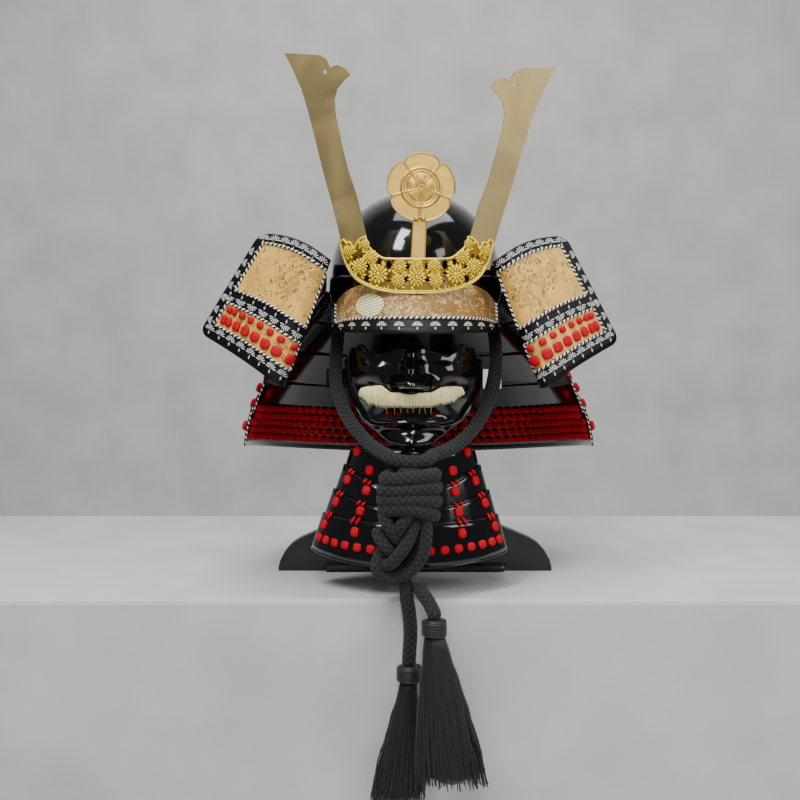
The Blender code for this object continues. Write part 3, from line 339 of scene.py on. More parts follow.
# How the fine pieces are made
MERGE_DISTANCE = 1e-6
ROUTE_STEP = 0.003
ROPE_SIDES = 18
ROPE_STRANDS = 12
ROPE_PICK = 0.0034
TRIM_PITCH = 0.0058
TRIM_SIDES = 8
PRINT_LIFT = 0.0004
TRIM_LIFT = 0.0006
GOLDEN_SHARE = 0.618034
TASSEL_SHAPE = (
    # down, half width as a share
    (0.0, 0.26),
    (0.15, 0.42),
    (0.35, 0.62),
    (0.60, 0.80),
    (0.85, 0.95),
    (1.0, 1.0),
)
# Outer cords of the neck guard: along, down from the lame's upper edge, and out from the lame above
OUTER_CORD_SHAPE = (
    (0.0, -0.075, 0.0002),
    (0.3, -0.050, 0.0016),
    (0.6, -0.004, 0.0024),
    (0.8, 0.010, 0.0042),
    (1.0, 0.055, 0.0034),
)
# The wings' printed panels and black borders, in shares down from their tops
WING_BORDER = 0.085
WING_DIVIDER_TOP = 0.530
WING_DIVIDER_FOOT = 0.652
WING_PANEL_FOOT = 0.868

# The stage. The plinth's front edge is where the tassels hang over.
PLINTH_SIZE = (1.30, 0.535, 0.56)
PLINTH_MIDDLE = (0.0, 0.1125, -0.28)
BACKDROP_MIDDLE = (0.0, -2.1, -0.56)
BACKDROP_HALF_SIZE = 3.5
BACKDROP_HEIGHT = 4.0
BACKDROP_BEND = 0.5
CAMERA_PLACE = (-0.018, -1.43, 0.309)
# The horizon lies 88 pixels above the picture's middle, at a focal length of 1200 pixels.
CAMERA_DIP = math.atan(88 / 1200)
FOCAL_MM = 54
SENSOR_MM = 36
LIGHTS = (
    # name, place, what it aims at, watts, width and height
    ("key", (-0.70, -1.10, 2.05), (0.0, -0.1, 0.25), 40.0, (0.45, 1.20)),
    ("fill", (1.45, -1.20, 1.05), (0.0, -0.1, 0.20), 18.0, (1.00, 1.20)),
    ("top", (0.15, 0.25, 1.75), (0.0, 0.0, 0.35), 16.0, (1.10, 1.10)),
    ("front", (0.0, -1.05, 1.10), (0.0, -0.13, 0.15), 8.0, (0.16, 1.00)),
    ("window", (0.06, -2.10, 0.40), (0.0, -0.13, 0.20), 6.0, (0.10, 1.40)),
)


def colour(code):
    """An sRGB hex colour as linear red, green, blue and alpha."""
    shares = [int(code[i:i + 2], 16) / 255 for i in (1, 3, 5)]
    return (*[s / 12.92 if s <= 0.04045 else ((s + 0.055) / 1.055) ** 2.4 for s in shares], 1.0)


def length_setting(name, description, default):
    return bpy.props.FloatProperty(name=name, description=description, default=default, min=0.0,
                                   unit="LENGTH", subtype="DISTANCE", precision=5)


def count_setting(name, description, default):
    return bpy.props.IntProperty(name=name, description=description, default=default, min=1)


def colour_setting(name, description, code):
    return bpy.props.FloatVectorProperty(name=name, description=description, default=colour(code), size=4,
                                         min=0.0, max=1.0, subtype="COLOR")


class HelmetSizes(bpy.types.PropertyGroup):
    """Sizes of the fine pieces that dress the frame."""

    knot_pitch: length_setting("Knot Pitch", "Distance between lacing knots along the neck guard", 0.0128)
    knot_width: length_setting("Knot Width", "Width of a lacing knot", 0.0104)
    trim_diameter: length_setting("Trim Diameter", "Diameter of the twisted trim cord", 0.0029)
    sprig_size: length_setting("Sprig Size", "Height of a printed flower on the black borders", 0.0108)
    tassel_locks: count_setting("Tassel Locks", "Locks of hair in each tassel", 260)
    moustache_hairs: count_setting("Moustache Hairs", "Bundles of hair in the moustache", 260)


class HelmetColours(bpy.types.PropertyGroup):
    """Colours of the finishes."""

    lacquer: colour_setting("Lacquer", "Black urushi lacquer", "#080809")
    leather: colour_setting("Gold Leather", "Gold ground of the printed leather", "#f0bd5c")
    bronze: colour_setting("Bronze Leather", "Ground of the peak's printed leather", "#8b6434")
    gilt: colour_setting("Gilt", "Bright gilt of the crest holder", "#ffe24a")
    crest: colour_setting("Crest", "Pale satin gold of the crest", "#cfa850")
    horn: colour_setting("Horns", "Satin brass of the horns", "#bfa976")
    red: colour_setting("Lacing", "Red silk lacing", "#cb0b24")
    rope: colour_setting("Cord", "Charcoal cotton of the chin cord", "#18191b")
    hair: colour_setting("Tassel Hair", "Blue-black hair of the tassels", "#0c0e13")
    moustache: colour_setting("Moustache", "Cream hair of the moustache", "#fff2b4")
    wood: colour_setting("Stand", "Black painted wood of the stand", "#101011")


# Meshes

def spaced(start, end, parts):
    return [start + (end - start) * i / parts for i in range(parts + 1)]


def mixed(start, end, share):
    return start + (end - start) * share


def eased(share):
    return share * share * (3 - 2 * share)


def hump(value, middle, width):
    """A smooth bump: 1 at its middle, and near 0 a few widths away."""
    return math.exp(-(((value - middle) / width) ** 2))


def read_table(rows, at, column):
    """The table's value in that column at a place in its first column, eased between rows."""
    for low, high in zip(rows, rows[1:]):
        if at <= high[0]:
            share = max(0.0, (at - low[0]) / (high[0] - low[0]))
            return mixed(low[column], high[column], eased(share))
    return rows[-1][column]


def set_off(base, u, v, out):
    """The point base(u, v), moved by out along its surface's normal, du crossed with dv."""
    return base(u, v) + normal_of(base, u, v) * out


def normal_of(base, u, v):
    step = 1e-4
    along_u = base(u + step, v) - base(u - step, v)
    along_v = base(u, v + step) - base(u, v - step)
    return along_u.cross(along_v).normalized()


def add_sheet(bm, us, vs, place, metres=(1.0, 1.0), zone=None):
    """Adds a grid whose lines lie at the shares us and vs and whose points are at place(u, v).
    Its UV map is in metres, and zone(u, v) gives each face's material."""
    uv = bm.loops.layers.uv.verify()
    across, along = len(us) - 1, len(vs) - 1
    made = bmesh.ops.create_grid(bm, x_segments=across, y_segments=along, size=0.5)["verts"]
    shares = {vert: (us[round((vert.co.x + 0.5) * across)], vs[round((vert.co.y + 0.5) * along)])
              for vert in made}
    faces = list({face for vert in made for face in vert.link_faces})
    for face in faces:
        face.smooth = True
        for loop in face.loops:
            u, v = shares[loop.vert]
            loop[uv].uv = (u * metres[0], v * metres[1])
        if zone:
            corners = [shares[vert] for vert in face.verts]
            face.material_index = zone(sum(c[0] for c in corners) / 4, sum(c[1] for c in corners) / 4)
    for vert, (u, v) in shares.items():
        vert.co = place(u, v)
    return made, faces


def add_round_sheet(bm, us, vs, place):
    """Adds a sheet whose ends meet, and joins them."""
    made, _ = add_sheet(bm, us, vs, place)
    bmesh.ops.remove_doubles(bm, verts=made, dist=MERGE_DISTANCE)


def cross_directions(points):
    """Two directions across the route at each of its points, which turn no more than they must."""
    tangents = [(b - a).normalized() for a, b in zip([points[0]] + points[:-1], points[1:] + [points[-1]])]
    side = tangents[0].orthogonal().normalized()
    pairs = []
    for tangent in tangents:
        side = (side - tangent * side.dot(tangent)).normalized()
        pairs.append((side, tangent.cross(side)))
    return pairs


def add_tube(bm, points, radius, around):
    """Adds a closed tube along the points. radius(share) is its radius, or a number. UVs are in metres."""
    reach = radius if callable(radius) else (lambda share: radius)
    pairs = cross_directions(points)
    lengths = [0.0]
    for a, b in zip(points, points[1:]):
        lengths.append(lengths[-1] + (b - a).length)
    stations = [(p, pair, reach(at / lengths[-1]), at) for p, pair, at in zip(points, pairs, lengths)]
    first, last = stations[0], stations[-1]
    stations = [(*first[:2], 0.0, first[3]), (*first[:2], first[2] * 0.86, first[3])] + stations[1:-1]
    stations += [(*last[:2], last[2] * 0.86, last[3]), (*last[:2], 0.0, last[3])]
    count = len(stations) - 1

    def place(u, v):
        point, (side, up), size, _ = stations[round(v * count)]
        return point + (side * math.cos(math.tau * u) + up * math.sin(math.tau * u)) * size

    round_it = math.tau * reach(0.5)
    made, faces = add_sheet(bm, spaced(0, 1, around), spaced(0, 1, count), place, (round_it, 1.0))
    uv = bm.loops.layers.uv.verify()
    for face in faces:
        for loop in face.loops:
            loop[uv].uv.y = stations[round(loop[uv].uv.y * count)][3]
    bmesh.ops.remove_doubles(bm, verts=made, dist=MERGE_DISTANCE)


def smooth_route(points, step=ROUTE_STEP):
    """Points about a step apart on the smooth curve through the route's own points."""
    points = [Vector(p) for p in points]
    ends = [points[0] * 2 - points[1], *points, points[-1] * 2 - points[-2]]
    route = [points[0]]
    for before, start, end, after in zip(ends, ends[1:], ends[2:], ends[3:]):
        parts = max(1, round((end - start).length / step))
        for i in range(1, parts + 1):
            t = i / parts
            route.append(0.5 * (2 * start + (end - before) * t
                                + (2 * before - 5 * start + 4 * end - after) * t ** 2
                                + (3 * start - before - 3 * end + after) * t ** 3))
    return route


def route_length(points):
    return sum((b - a).length for a, b in zip(points, points[1:]))


def smooth_faces(verts):
    for face in {face for vert in verts for face in vert.link_faces}:
        face.smooth = True


def add_knot(bm, centre, out, up, width, height, proud):
    """Adds a small cushion-shaped silk knot that stands proud of a surface."""
    side = up.cross(out).normalized()
    up = out.cross(side).normalized()
    frame_at = Matrix((side, up, out)).transposed().to_4x4()
    frame_at.translation = centre
    made = bmesh.ops.create_uvsphere(bm, u_segments=10, v_segments=6, radius=1.0)["verts"]
    for vert in made:
        square = [math.copysign(abs(c) ** 0.7, c) / 2 for c in vert.co]
        vert.co = Vector((square[0] * width, square[1] * height, square[2] * proud))
    bmesh.ops.transform(bm, matrix=frame_at, verts=made)
    smooth_faces(made)


def add_prism(bm, corners, depth):
    """Adds a closed prism: a flat outline, pushed back by the depth."""
    face = bm.faces.new([bm.verts.new(corner) for corner in corners])
    made = bmesh.ops.extrude_face_region(bm, geom=[face])
    pushed = [item for item in made["geom"] if isinstance(item, bmesh.types.BMVert)]
    bmesh.ops.translate(bm, verts=pushed, vec=(0.0, depth, 0.0))


def add_bore(bm, where, radius, depth, around):
    """Adds a cylinder that runs from front to back."""
    bmesh.ops.create_cone(bm, cap_ends=True, segments=around, radius1=radius, radius2=radius, depth=depth,
                          matrix=where @ Matrix.Rotation(math.pi / 2, 4, "X"))


def cut(context, body, cutter, wall=0.0):
    """The body with the cutter's shapes cut out of it, as a bmesh. A wall first makes the body solid."""
    if not wall:
        bmesh.ops.recalc_face_normals(body, faces=body.faces)
    bmesh.ops.recalc_face_normals(cutter, faces=cutter.faces)
    made = []
    for name, bm in (("cut_body", body), ("cut_tool", cutter)):
        mesh = bpy.data.meshes.new(name)
        bm.to_mesh(mesh)
        bm.free()
        made.append(bpy.data.objects.new(name, mesh))
        context.scene.collection.objects.link(made[-1])
    if wall:
        solid = made[0].modifiers.new("Wall", "SOLIDIFY")
        solid.thickness = wall
        solid.offset = 1.0
    openings = made[0].modifiers.new("Openings", "BOOLEAN")
    openings.operation = "DIFFERENCE"
    openings.solver = "EXACT"
    openings.object = made[1]
    openings.use_self = wall > 0.0
    context.view_layer.update()
    bm = bmesh.new()
    bm.from_mesh(bpy.data.meshes.new_from_object(made[0].evaluated_get(context.evaluated_depsgraph_get())))
    for helper in made:
        bpy.data.objects.remove(helper)
    for face in bm.faces:
        face.smooth = True
        face.material_index = 0
    return bm


def add_ball(bm, centre, size, turn=0.0, around=8, along=6):
    """Adds an ellipsoid with those three half sizes, turned about the axis that faces the front."""
    where = Matrix.Translation(centre) @ Matrix.Rotation(-turn, 4, "Y") @ Matrix.Diagonal((*size, 1.0))
    smooth_faces(bmesh.ops.create_uvsphere(bm, u_segments=around, v_segments=along, radius=1.0,
                                           matrix=where)["verts"])


def inside(outline, point, margin):
    """Whether a flat point lies inside the outline, and no nearer to it than the margin."""
    crossings = 0
    for a, b in zip(outline, outline[1:] + outline[:1]):
        if (a.z > point.z) != (b.z > point.z):
            crossings += point.x < a.x + (b.x - a.x) * (point.z - a.z) / (b.z - a.z)
    return crossings % 2 == 1 and min((p - point).length for p in outline) > margin


def add_sprig(bm, base, u, v, across, down, size, turn=0.0, out=PRINT_LIFT):
    """Adds a printed flower to a surface, flat on base(u, v): a fan of petals on a stem with a small cross.
    across and down are the surface's shares for one metre along its two ways, and turn turns the flower."""
    strokes = [(math.radians(mixed(-80, 80, i / 6)), 0.12, 0.56, 0.050) for i in range(7)]
    strokes += [(math.pi, 0.0, 0.50, 0.030), (math.pi, 0.22, 0.34, 0.115)]
    for angle, start, reach, half in strokes:
        way = Vector((math.sin(angle + turn), math.cos(angle + turn)))
        side = Vector((way.y, -way.x))

        def place(s, t):
            taper = half * (0.25 + 0.75 * t)
            at = (way * mixed(start, reach, t) + side * (2 * s - 1) * taper) * size
            return set_off(base, u + across * at.x, v - down * at.y, out)

        add_sheet(bm, [0.0, 1.0], [0.0, 0.5, 1.0], place)


def piece(name, bm, finishes, replaces=(), wall=0.0, side=-1.0, angle=None):
    """A finished piece of the helmet that rides on the frame. A wall makes a sheet solid towards its side,
    and an angle in degrees keeps the edges sharp that are steeper."""
    bmesh.ops.dissolve_degenerate(bm, dist=1e-7, edges=bm.edges)
    mesh = bpy.data.meshes.new(name)
    bm.to_mesh(mesh)
    bm.free()
    for name_of_finish in finishes:
        mesh.materials.append(finish(name_of_finish))
    if angle:
        mesh.set_sharp_from_angle(angle=math.radians(angle))
    obj = bpy.data.objects.new(name, mesh)
    bpy.context.scene.collection.objects.link(obj)
    if wall:
        solid = obj.modifiers.new("Wall", "SOLIDIFY")
        solid.thickness = wall
        solid.offset = side
        solid.use_even_offset = True
    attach(obj, "root")
    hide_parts(*replaces)
    return obj


def turned(point):
    return Matrix.Rotation(FACE_TURN, 3, "Z") @ point


# Materials

def add_node(tree, kind, links=(), output=0, feeds=None, stops=(), **settings):
    """Adds a node and gives one of its outputs. Settings are its properties or its sockets' constants,
    links are (socket, source), feeds is a socket that the output drives, and stops are a ramp's colours."""
    made = tree.nodes.new(kind)
    for name, value in settings.items():
        if hasattr(made, name):
            setattr(made, name, value)
        else:
            made.inputs[int(name[1:]) if name[1:].isdigit() else name].default_value = value
    while stops and len(made.color_ramp.elements) < len(stops):
        made.color_ramp.elements.new(0.5)
    for i, (place, tone) in enumerate(stops):
        made.color_ramp.elements[i].position = place
        made.color_ramp.elements[i].color = (tone, tone, tone, 1.0) if isinstance(tone, float) else tone
    for socket, source in links:
        tree.links.new(source, made.inputs[socket])
    if feeds is not None:
        tree.links.new(made.outputs[output], feeds)
    return made.outputs[output]


def start_material(name, base, roughness, space="Object", **sockets):
    """A Principled material with its sockets' constants: the material, its tree, its shader's inputs and the
    coordinates that its patterns follow."""
    made = bpy.data.materials.new(name)
    made.use_nodes = True
    made.diffuse_color = base
    shader = made.node_tree.nodes["Principled BSDF"].inputs
    for socket, value in {"Base_Color": base, "Roughness": roughness, **sockets}.items():
        shader[socket.replace("_", " ")].default_value = value
    place = add_node(made.node_tree, "ShaderNodeTexCoord", output=space)
    return made, made.node_tree, shader, place


def darker(tone, share):
    return (tone[0] * share, tone[1] * share, tone[2] * share, 1.0)


def black_lacquer():
    """Urushi lacquer over iron, brushed and polished: deep black with a wet gloss and faint long waves."""
    base = tuple(bpy.context.scene.helmet_colours.lacquer)
    made, tree, shader, place = start_material("black_urushi_lacquer", base, 0.1, Coat_Weight=0.5,
                                               Coat_Roughness=0.04)
    specks = add_node(tree, "ShaderNodeTexNoise", [("Vector", place)], Scale=900.0, Detail=2.0)
    add_node(tree, "ShaderNodeValToRGB", [("Fac", specks)], feeds=shader["Roughness"],
             stops=[(0.35, 0.08), (0.75, 0.16)])
    waves = add_node(tree, "ShaderNodeTexNoise", [("Vector", place)], Scale=38.0, Detail=2.0)
    add_node(tree, "ShaderNodeBump", [("Height", waves)], feeds=shader["Normal"],
             Strength=0.1, Distance=0.0015)
    return made


def printed_leather(name, base, ink, line_scale, curl_scale, cover):
    """Deerskin printed in gold: a matt skin with fine pores, printed with cloud lines and small curls."""
    made, tree, shader, place = start_material(name, base, 0.46, Specular_IOR_Level=0.45)
    mottle = add_node(tree, "ShaderNodeTexNoise", [("Vector", place)], Scale=60.0, Detail=5.0)
    ground = add_node(tree, "ShaderNodeValToRGB", [("Fac", mottle)],
                      stops=[(0.30, darker(base, 0.76)), (0.55, base), (0.75, darker(base, 1.16))])
    # Cloud outlines 15 to 30 mm across: thin lines where a warped noise crosses its middle value.
    cloud = add_node(tree, "ShaderNodeTexNoise", [("Vector", place)], Scale=line_scale, Detail=2.5,
                     Distortion=1.8)
    outline = add_node(tree, "ShaderNodeValToRGB", [("Fac", cloud)],
                       stops=[(0.482, 0.0), (0.494, 1.0), (0.500, 1.0), (0.512, 0.0)])
    # Curls 3 to 5 mm across, in patches: rings in the cells of a Voronoi pattern.
    cell = add_node(tree, "ShaderNodeTexVoronoi", [("Vector", place)], Scale=curl_scale)
    curl = add_node(tree, "ShaderNodeValToRGB", [("Fac", cell)],
                    stops=[(0.28, 0.0), (0.36, 1.0), (0.42, 1.0), (0.50, 0.0)])
    patch = add_node(tree, "ShaderNodeTexNoise", [("Vector", place)], Scale=27.0, Detail=1.0)
    spread = add_node(tree, "ShaderNodeValToRGB", [("Fac", patch)], stops=[(cover, 0.0), (cover + 0.05, 1.0)])
    curls = add_node(tree, "ShaderNodeMath", [(0, curl), (1, spread)], operation="MULTIPLY")
    lines = add_node(tree, "ShaderNodeMath", [(0, outline), (1, curls)], operation="MAXIMUM")
    worn = add_node(tree, "ShaderNodeMath", [(0, lines), (1, mottle)], operation="MULTIPLY")
    amount = add_node(tree, "ShaderNodeMath", [(0, worn)], operation="MULTIPLY", _1=1.7, use_clamp=True)
    add_node(tree, "ShaderNodeMix", [("Factor", amount), (6, ground)], data_type="RGBA", output=2,
             feeds=shader["Base Color"], _7=ink)
    pores = add_node(tree, "ShaderNodeTexVoronoi", [("Vector", place)], Scale=1100.0)
    add_node(tree, "ShaderNodeBump", [("Height", pores)], feeds=shader["Normal"],
             Strength=0.2, Distance=0.0004)
    return made


def black_leather():
    """Black dyed leather of the borders: even, slightly satin, with fine pores."""
    made, tree, shader, place = start_material("black_dyed_leather", colour("#070708"), 0.5,
                                               Specular_IOR_Level=0.3)
    pores = add_node(tree, "ShaderNodeTexVoronoi", [("Vector", place)], Scale=1000.0)
    add_node(tree, "ShaderNodeBump", [("Height", pores)], feeds=shader["Normal"],
             Strength=0.15, Distance=0.0004)
    return made


def white_print():
    """Thick white pigment of the printed flowers, a little chalky."""
    made, tree, shader, place = start_material("chalky_white_pigment", colour("#f2f2ee"), 0.7)
    grain = add_node(tree, "ShaderNodeTexNoise", [("Vector", place)], Scale=1400.0, Detail=2.0)
    add_node(tree, "ShaderNodeValToRGB", [("Fac", grain)], feeds=shader["Base Color"],
             stops=[(0.3, colour("#dcdcd8")), (0.6, colour("#f6f6f2"))])
    return made


def cream_medallion():
    """Cream lacquer of the peak's round medallion, with slanted ink strokes 3 mm apart."""
    made, tree, shader, place = start_material("cream_lacquer_with_ink", colour("#eadfae"), 0.4)
    tilted = add_node(tree, "ShaderNodeMapping", [("Vector", place)], Rotation=(0.0, math.radians(60), 0.0),
                      Scale=(60.0, 1.0, 300.0))
    wave = add_node(tree, "ShaderNodeTexWave", [("Vector", tilted)], bands_direction="Z", Scale=0.64,
                    Distortion=1.6, Detail=2.0)
    add_node(tree, "ShaderNodeValToRGB", [("Fac", wave)], feeds=shader["Base Color"],
             stops=[(0.06, colour("#3a3423")), (0.16, colour("#eadfae"))])
    return made


def gilt(name, tone, roughness, scale, depth, metal=0.75):
    """Cast and gilded brass: a warm metal whose gloss and tone vary a little in clouds. The holder's plate is
    given a darker tone than its bright relief, as painted shade in the hollows.
    """
    made, tree, shader, place = start_material(name, tone, roughness, Metallic=metal)
    cloud = add_node(tree, "ShaderNodeTexNoise", [("Vector", place)], Scale=90.0, Detail=3.0)
    add_node(tree, "ShaderNodeValToRGB", [("Fac", cloud)], feeds=shader["Roughness"],
             stops=[(0.35, roughness * 0.8), (0.7, roughness * 1.35)])
    add_node(tree, "ShaderNodeValToRGB", [("Fac", cloud)], feeds=shader["Base Color"],
             stops=[(0.3, darker(tone, 0.86)), (0.65, tone)])
    grain = add_node(tree, "ShaderNodeTexNoise", [("Vector", place)], Scale=scale, Detail=3.0)
    add_node(tree, "ShaderNodeBump", [("Height", grain)], feeds=shader["Normal"],
             Strength=0.25, Distance=depth)
    return made


def horn_brass():
    """Flat brass sheet, satin brushed: long soft cloudy reflections."""
    tone = tuple(bpy.context.scene.helmet_colours.horn)
    made, tree, shader, place = start_material("satin_brass_sheet", tone, 0.5, Metallic=1.0)
    cloud = add_node(tree, "ShaderNodeTexNoise", [("Vector", place)], Scale=17.0, Detail=2.0, Distortion=0.8)
    add_node(tree, "ShaderNodeValToRGB", [("Fac", cloud)], feeds=shader["Roughness"],
             stops=[(0.3, 0.44), (0.7, 0.56)])
    add_node(tree, "ShaderNodeValToRGB", [("Fac", cloud)], feeds=shader["Base Color"],
             stops=[(0.3, darker(tone, 0.86)), (0.7, darker(tone, 1.1))])
    add_node(tree, "ShaderNodeBump", [("Height", cloud)], feeds=shader["Normal"],
             Strength=0.25, Distance=0.002)
    return made


def red_silk():
    """Flat-braided silk lacing, tied in knots: matt deep red, with 1 mm braid ribs."""
    tone = tuple(bpy.context.scene.helmet_colours.red)
    made, tree, shader, place = start_material("red_silk_braid", tone, 0.75, Specular_IOR_Level=0.15)
    shade = add_node(tree, "ShaderNodeTexNoise", [("Vector", place)], Scale=240.0, Detail=2.0)
    add_node(tree, "ShaderNodeValToRGB", [("Fac", shade)], feeds=shader["Base Color"],
             stops=[(0.3, darker(tone, 0.72)), (0.65, tone)])
    rib = add_node(tree, "ShaderNodeTexVoronoi", [("Vector", place)], Scale=950.0)
    add_node(tree, "ShaderNodeBump", [("Height", rib)], feeds=shader["Normal"], Strength=0.6, Distance=0.0006)
    return made


def rope_cotton():
    """Round-braided cotton rope: its strands cross in diamonds about 4 mm long, with fluff between. Its
    colour carries painted shade in the grooves and painted highlights on the strands' crowns.
    """
    tone = tuple(bpy.context.scene.helmet_colours.rope)
    made, tree, shader, place = start_material("charcoal_cotton_braid", tone, 0.88, Sheen_Weight=0.06,
                                               Sheen_Roughness=0.5, space="UV")
    across = add_node(tree, "ShaderNodeSeparateXYZ", [("Vector", place)])
    turn = add_node(tree, "ShaderNodeMath", [(0, across)], operation="MULTIPLY",
                    _1=ROPE_STRANDS / (math.tau * CORD_DIAMETER / 2))
    along = add_node(tree, "ShaderNodeMath", [(0, across.node.outputs[1])], operation="MULTIPLY",
                     _1=1 / ROPE_PICK)
    waves = []
    for operation in ("ADD", "SUBTRACT"):
        crossed = add_node(tree, "ShaderNodeMath", [(0, turn), (1, along)], operation=operation)
        angle = add_node(tree, "ShaderNodeMath", [(0, crossed)], operation="MULTIPLY", _1=math.pi / 2)
        waves.append(add_node(tree, "ShaderNodeMath", [(0, angle)], operation="SINE"))
    product = add_node(tree, "ShaderNodeMath", [(0, waves[0]), (1, waves[1])], operation="MULTIPLY")
    height = add_node(tree, "ShaderNodeMath", [(0, product)], operation="ABSOLUTE")
    fluff = add_node(tree, "ShaderNodeTexNoise", [("Vector", place)], Scale=1300.0, Detail=3.0)
    both = add_node(tree, "ShaderNodeMath", [(0, fluff), (2, height)], operation="MULTIPLY_ADD", _1=0.6)
    # Colour from the braid's relief and the fluff: darker in the grooves between strands as painted shade,
    # lighter on the strands' crowns as painted highlights.
    add_node(tree, "ShaderNodeValToRGB", [("Fac", both)], feeds=shader["Base Color"],
             stops=[(0.22, darker(tone, 0.25)), (0.7, tone), (1.0, darker(tone, 1.7))])
    add_node(tree, "ShaderNodeBump", [("Height", both)], feeds=shader["Normal"],
             Strength=0.9, Distance=0.0011)
    return made


def hair(name, tone, roughness, scale, sheen):
    """Straight coarse hair: fine streaks down its length, and a soft silky shine."""
    made, tree, shader, place = start_material(name, tone, roughness, Sheen_Weight=sheen)
    lengthwise = add_node(tree, "ShaderNodeMapping", [("Vector", place)], Scale=(scale, scale, scale / 22))
    streak = add_node(tree, "ShaderNodeTexNoise", [("Vector", lengthwise)], Scale=1.0, Detail=3.0)
    add_node(tree, "ShaderNodeValToRGB", [("Fac", streak)], feeds=shader["Base Color"],
             stops=[(0.3, darker(tone, 0.82)), (0.6, tone), (0.8, darker(tone, 1.15))])
    add_node(tree, "ShaderNodeBump", [("Height", streak)], feeds=shader["Normal"],
             Strength=0.5, Distance=0.0006)
    return made


def twisted_trim():
    """Two-ply twisted trim cord, one ply white and one black: slanted stripes 6 mm apart."""
    made, tree, shader, place = start_material("twisted_trim_cord", colour("#e6e6e0"), 0.7, space="UV")
    across = add_node(tree, "ShaderNodeSeparateXYZ", [("Vector", place)])
    size = bpy.context.scene.helmet_sizes.trim_diameter
    turn = add_node(tree, "ShaderNodeMath", [(0, across)], operation="MULTIPLY", _1=2 / size)
    along = add_node(tree, "ShaderNodeMath", [(0, across.node.outputs[1]), (2, turn)],
                     operation="MULTIPLY_ADD", _1=math.tau / TRIM_PITCH)
    wave = add_node(tree, "ShaderNodeMath", [(0, along)], operation="SINE")
    add_node(tree, "ShaderNodeValToRGB", [("Fac", wave)], feeds=shader["Base Color"],
             stops=[(0.0, colour("#0c0c0d")), (0.10, colour("#f0f0ea"))])
    add_node(tree, "ShaderNodeBump", [("Height", wave)], feeds=shader["Normal"],
             Strength=0.6, Distance=0.0006)
    return made


def black_wood():
    """Planed wood under satin black paint, with a little grain showing through."""
    tone = tuple(bpy.context.scene.helmet_colours.wood)
    made, tree, shader, place = start_material("satin_black_painted_wood", tone, 0.33)
    lengthwise = add_node(tree, "ShaderNodeMapping", [("Vector", place)], Scale=(40.0, 420.0, 420.0))
    grain = add_node(tree, "ShaderNodeTexNoise", [("Vector", lengthwise)], Scale=1.0, Detail=3.0)
    add_node(tree, "ShaderNodeValToRGB", [("Fac", grain)], feeds=shader["Roughness"],
             stops=[(0.3, 0.28), (0.7, 0.42)])
    add_node(tree, "ShaderNodeBump", [("Height", grain)], feeds=shader["Normal"],
             Strength=0.12, Distance=0.0004)
    return made


FINISHES = {}


def finish(name):
    """Each finish is made once, when a piece first asks for it."""
    tones = bpy.context.scene.helmet_colours
    makers = {
        "lacquer": black_lacquer,
        "gold_leather": lambda: printed_leather("gold_printed_deerskin", tuple(tones.leather),
                                                colour("#4a3216"), 42.0, 230.0, 0.50),
        "bronze_leather": lambda: printed_leather("bronze_printed_deerskin", tuple(tones.bronze),
                                                  colour("#e6cc92"), 46.0, 280.0, 0.47),
        "black_leather": black_leather,
        "white_print": white_print,
        "medallion": cream_medallion,
        "gilt": lambda: gilt("bright_gilded_brass", tuple(tones.gilt), 0.36, 600.0, 0.0002, 0.6),
        # The darker gilt is painted shade in the hollows behind the holder's relief.
        "hollow_shade_gilt": lambda: gilt("gilded_brass_painted_hollow_shade", colour("#8f6c18"), 0.42, 600.0, 0.0002),
        "crest": lambda: gilt("satin_gilded_brass", tuple(tones.crest), 0.36, 900.0, 0.0002),
        "horn": horn_brass,
        "silk": red_silk,
        "rope": rope_cotton,
        "tassel": lambda: hair("blue_black_silk_threads", tuple(tones.hair), 0.5, 1500.0, 0.1),
        "moustache": lambda: hair("cream_horse_hair", tuple(tones.moustache), 0.55, 1200.0, 0.5),
        "trim": twisted_trim,
        "wood": black_wood,
    }
    if name not in FINISHES:
        FINISHES[name] = makers[name]()
    return FINISHES[name]


def dress(names, finish_name):
    """Gives CAD nodes that keep their shape a better material."""
    for name in names:
        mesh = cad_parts[name].data
        for slot in range(max(1, len(mesh.materials))):
            if slot < len(mesh.materials):
                mesh.materials[slot] = finish(finish_name)
            else:
                mesh.materials.append(finish(finish_name))


# Forms of the helmet's shells

def band_out(share):
    return FIT_GAP + BAND_WALL + BAND_FLARE * share


def band_half_width(share):
    return BOWL_HALF_WIDTH + band_out(share)


def band_half_length(share):
    return band_half_width(share) * (BOWL_HALF_LENGTH + band_out(0.0)) / band_half_width(0.0)


def visor_point(u, v):
    """A point of the peak's upper face: u from its left end to its right, v from its root to its rim."""
    angle = mixed(-VISOR_SPAN, VISOR_SPAN, u)
    rim_z = BOWL_SPRING_Z - VISOR_ROOT_DROP - VISOR_DROP
    height = mixed(VISOR_DROP, VISOR_END_HEIGHT, abs(2 * u - 1) ** 4)
    band_share = min(1.0, (BOWL_SPRING_Z - rim_z - height) / BAND_HEIGHT)
    root_out = 1.5 * FIT_GAP + 0.8 * VISOR_WALL
    root_x = (band_half_width(band_share) + root_out) * math.sin(angle)
    root_y = -(band_half_length(band_share) + root_out) * math.cos(angle)
    rim_x = VISOR_RIM_HALF_WIDTH * math.sin(angle) / math.sin(VISOR_SPAN)
    rim_y = -(band_half_length(1.0) + VISOR_WALL + VISOR_REACH) * math.cos(angle)
    z = rim_z + height * (1 - v) + VISOR_CROWN * math.sin(math.pi * v) * height / VISOR_DROP
    return Vector((mixed(root_x, rim_x, v), mixed(root_y, rim_y, v), z))


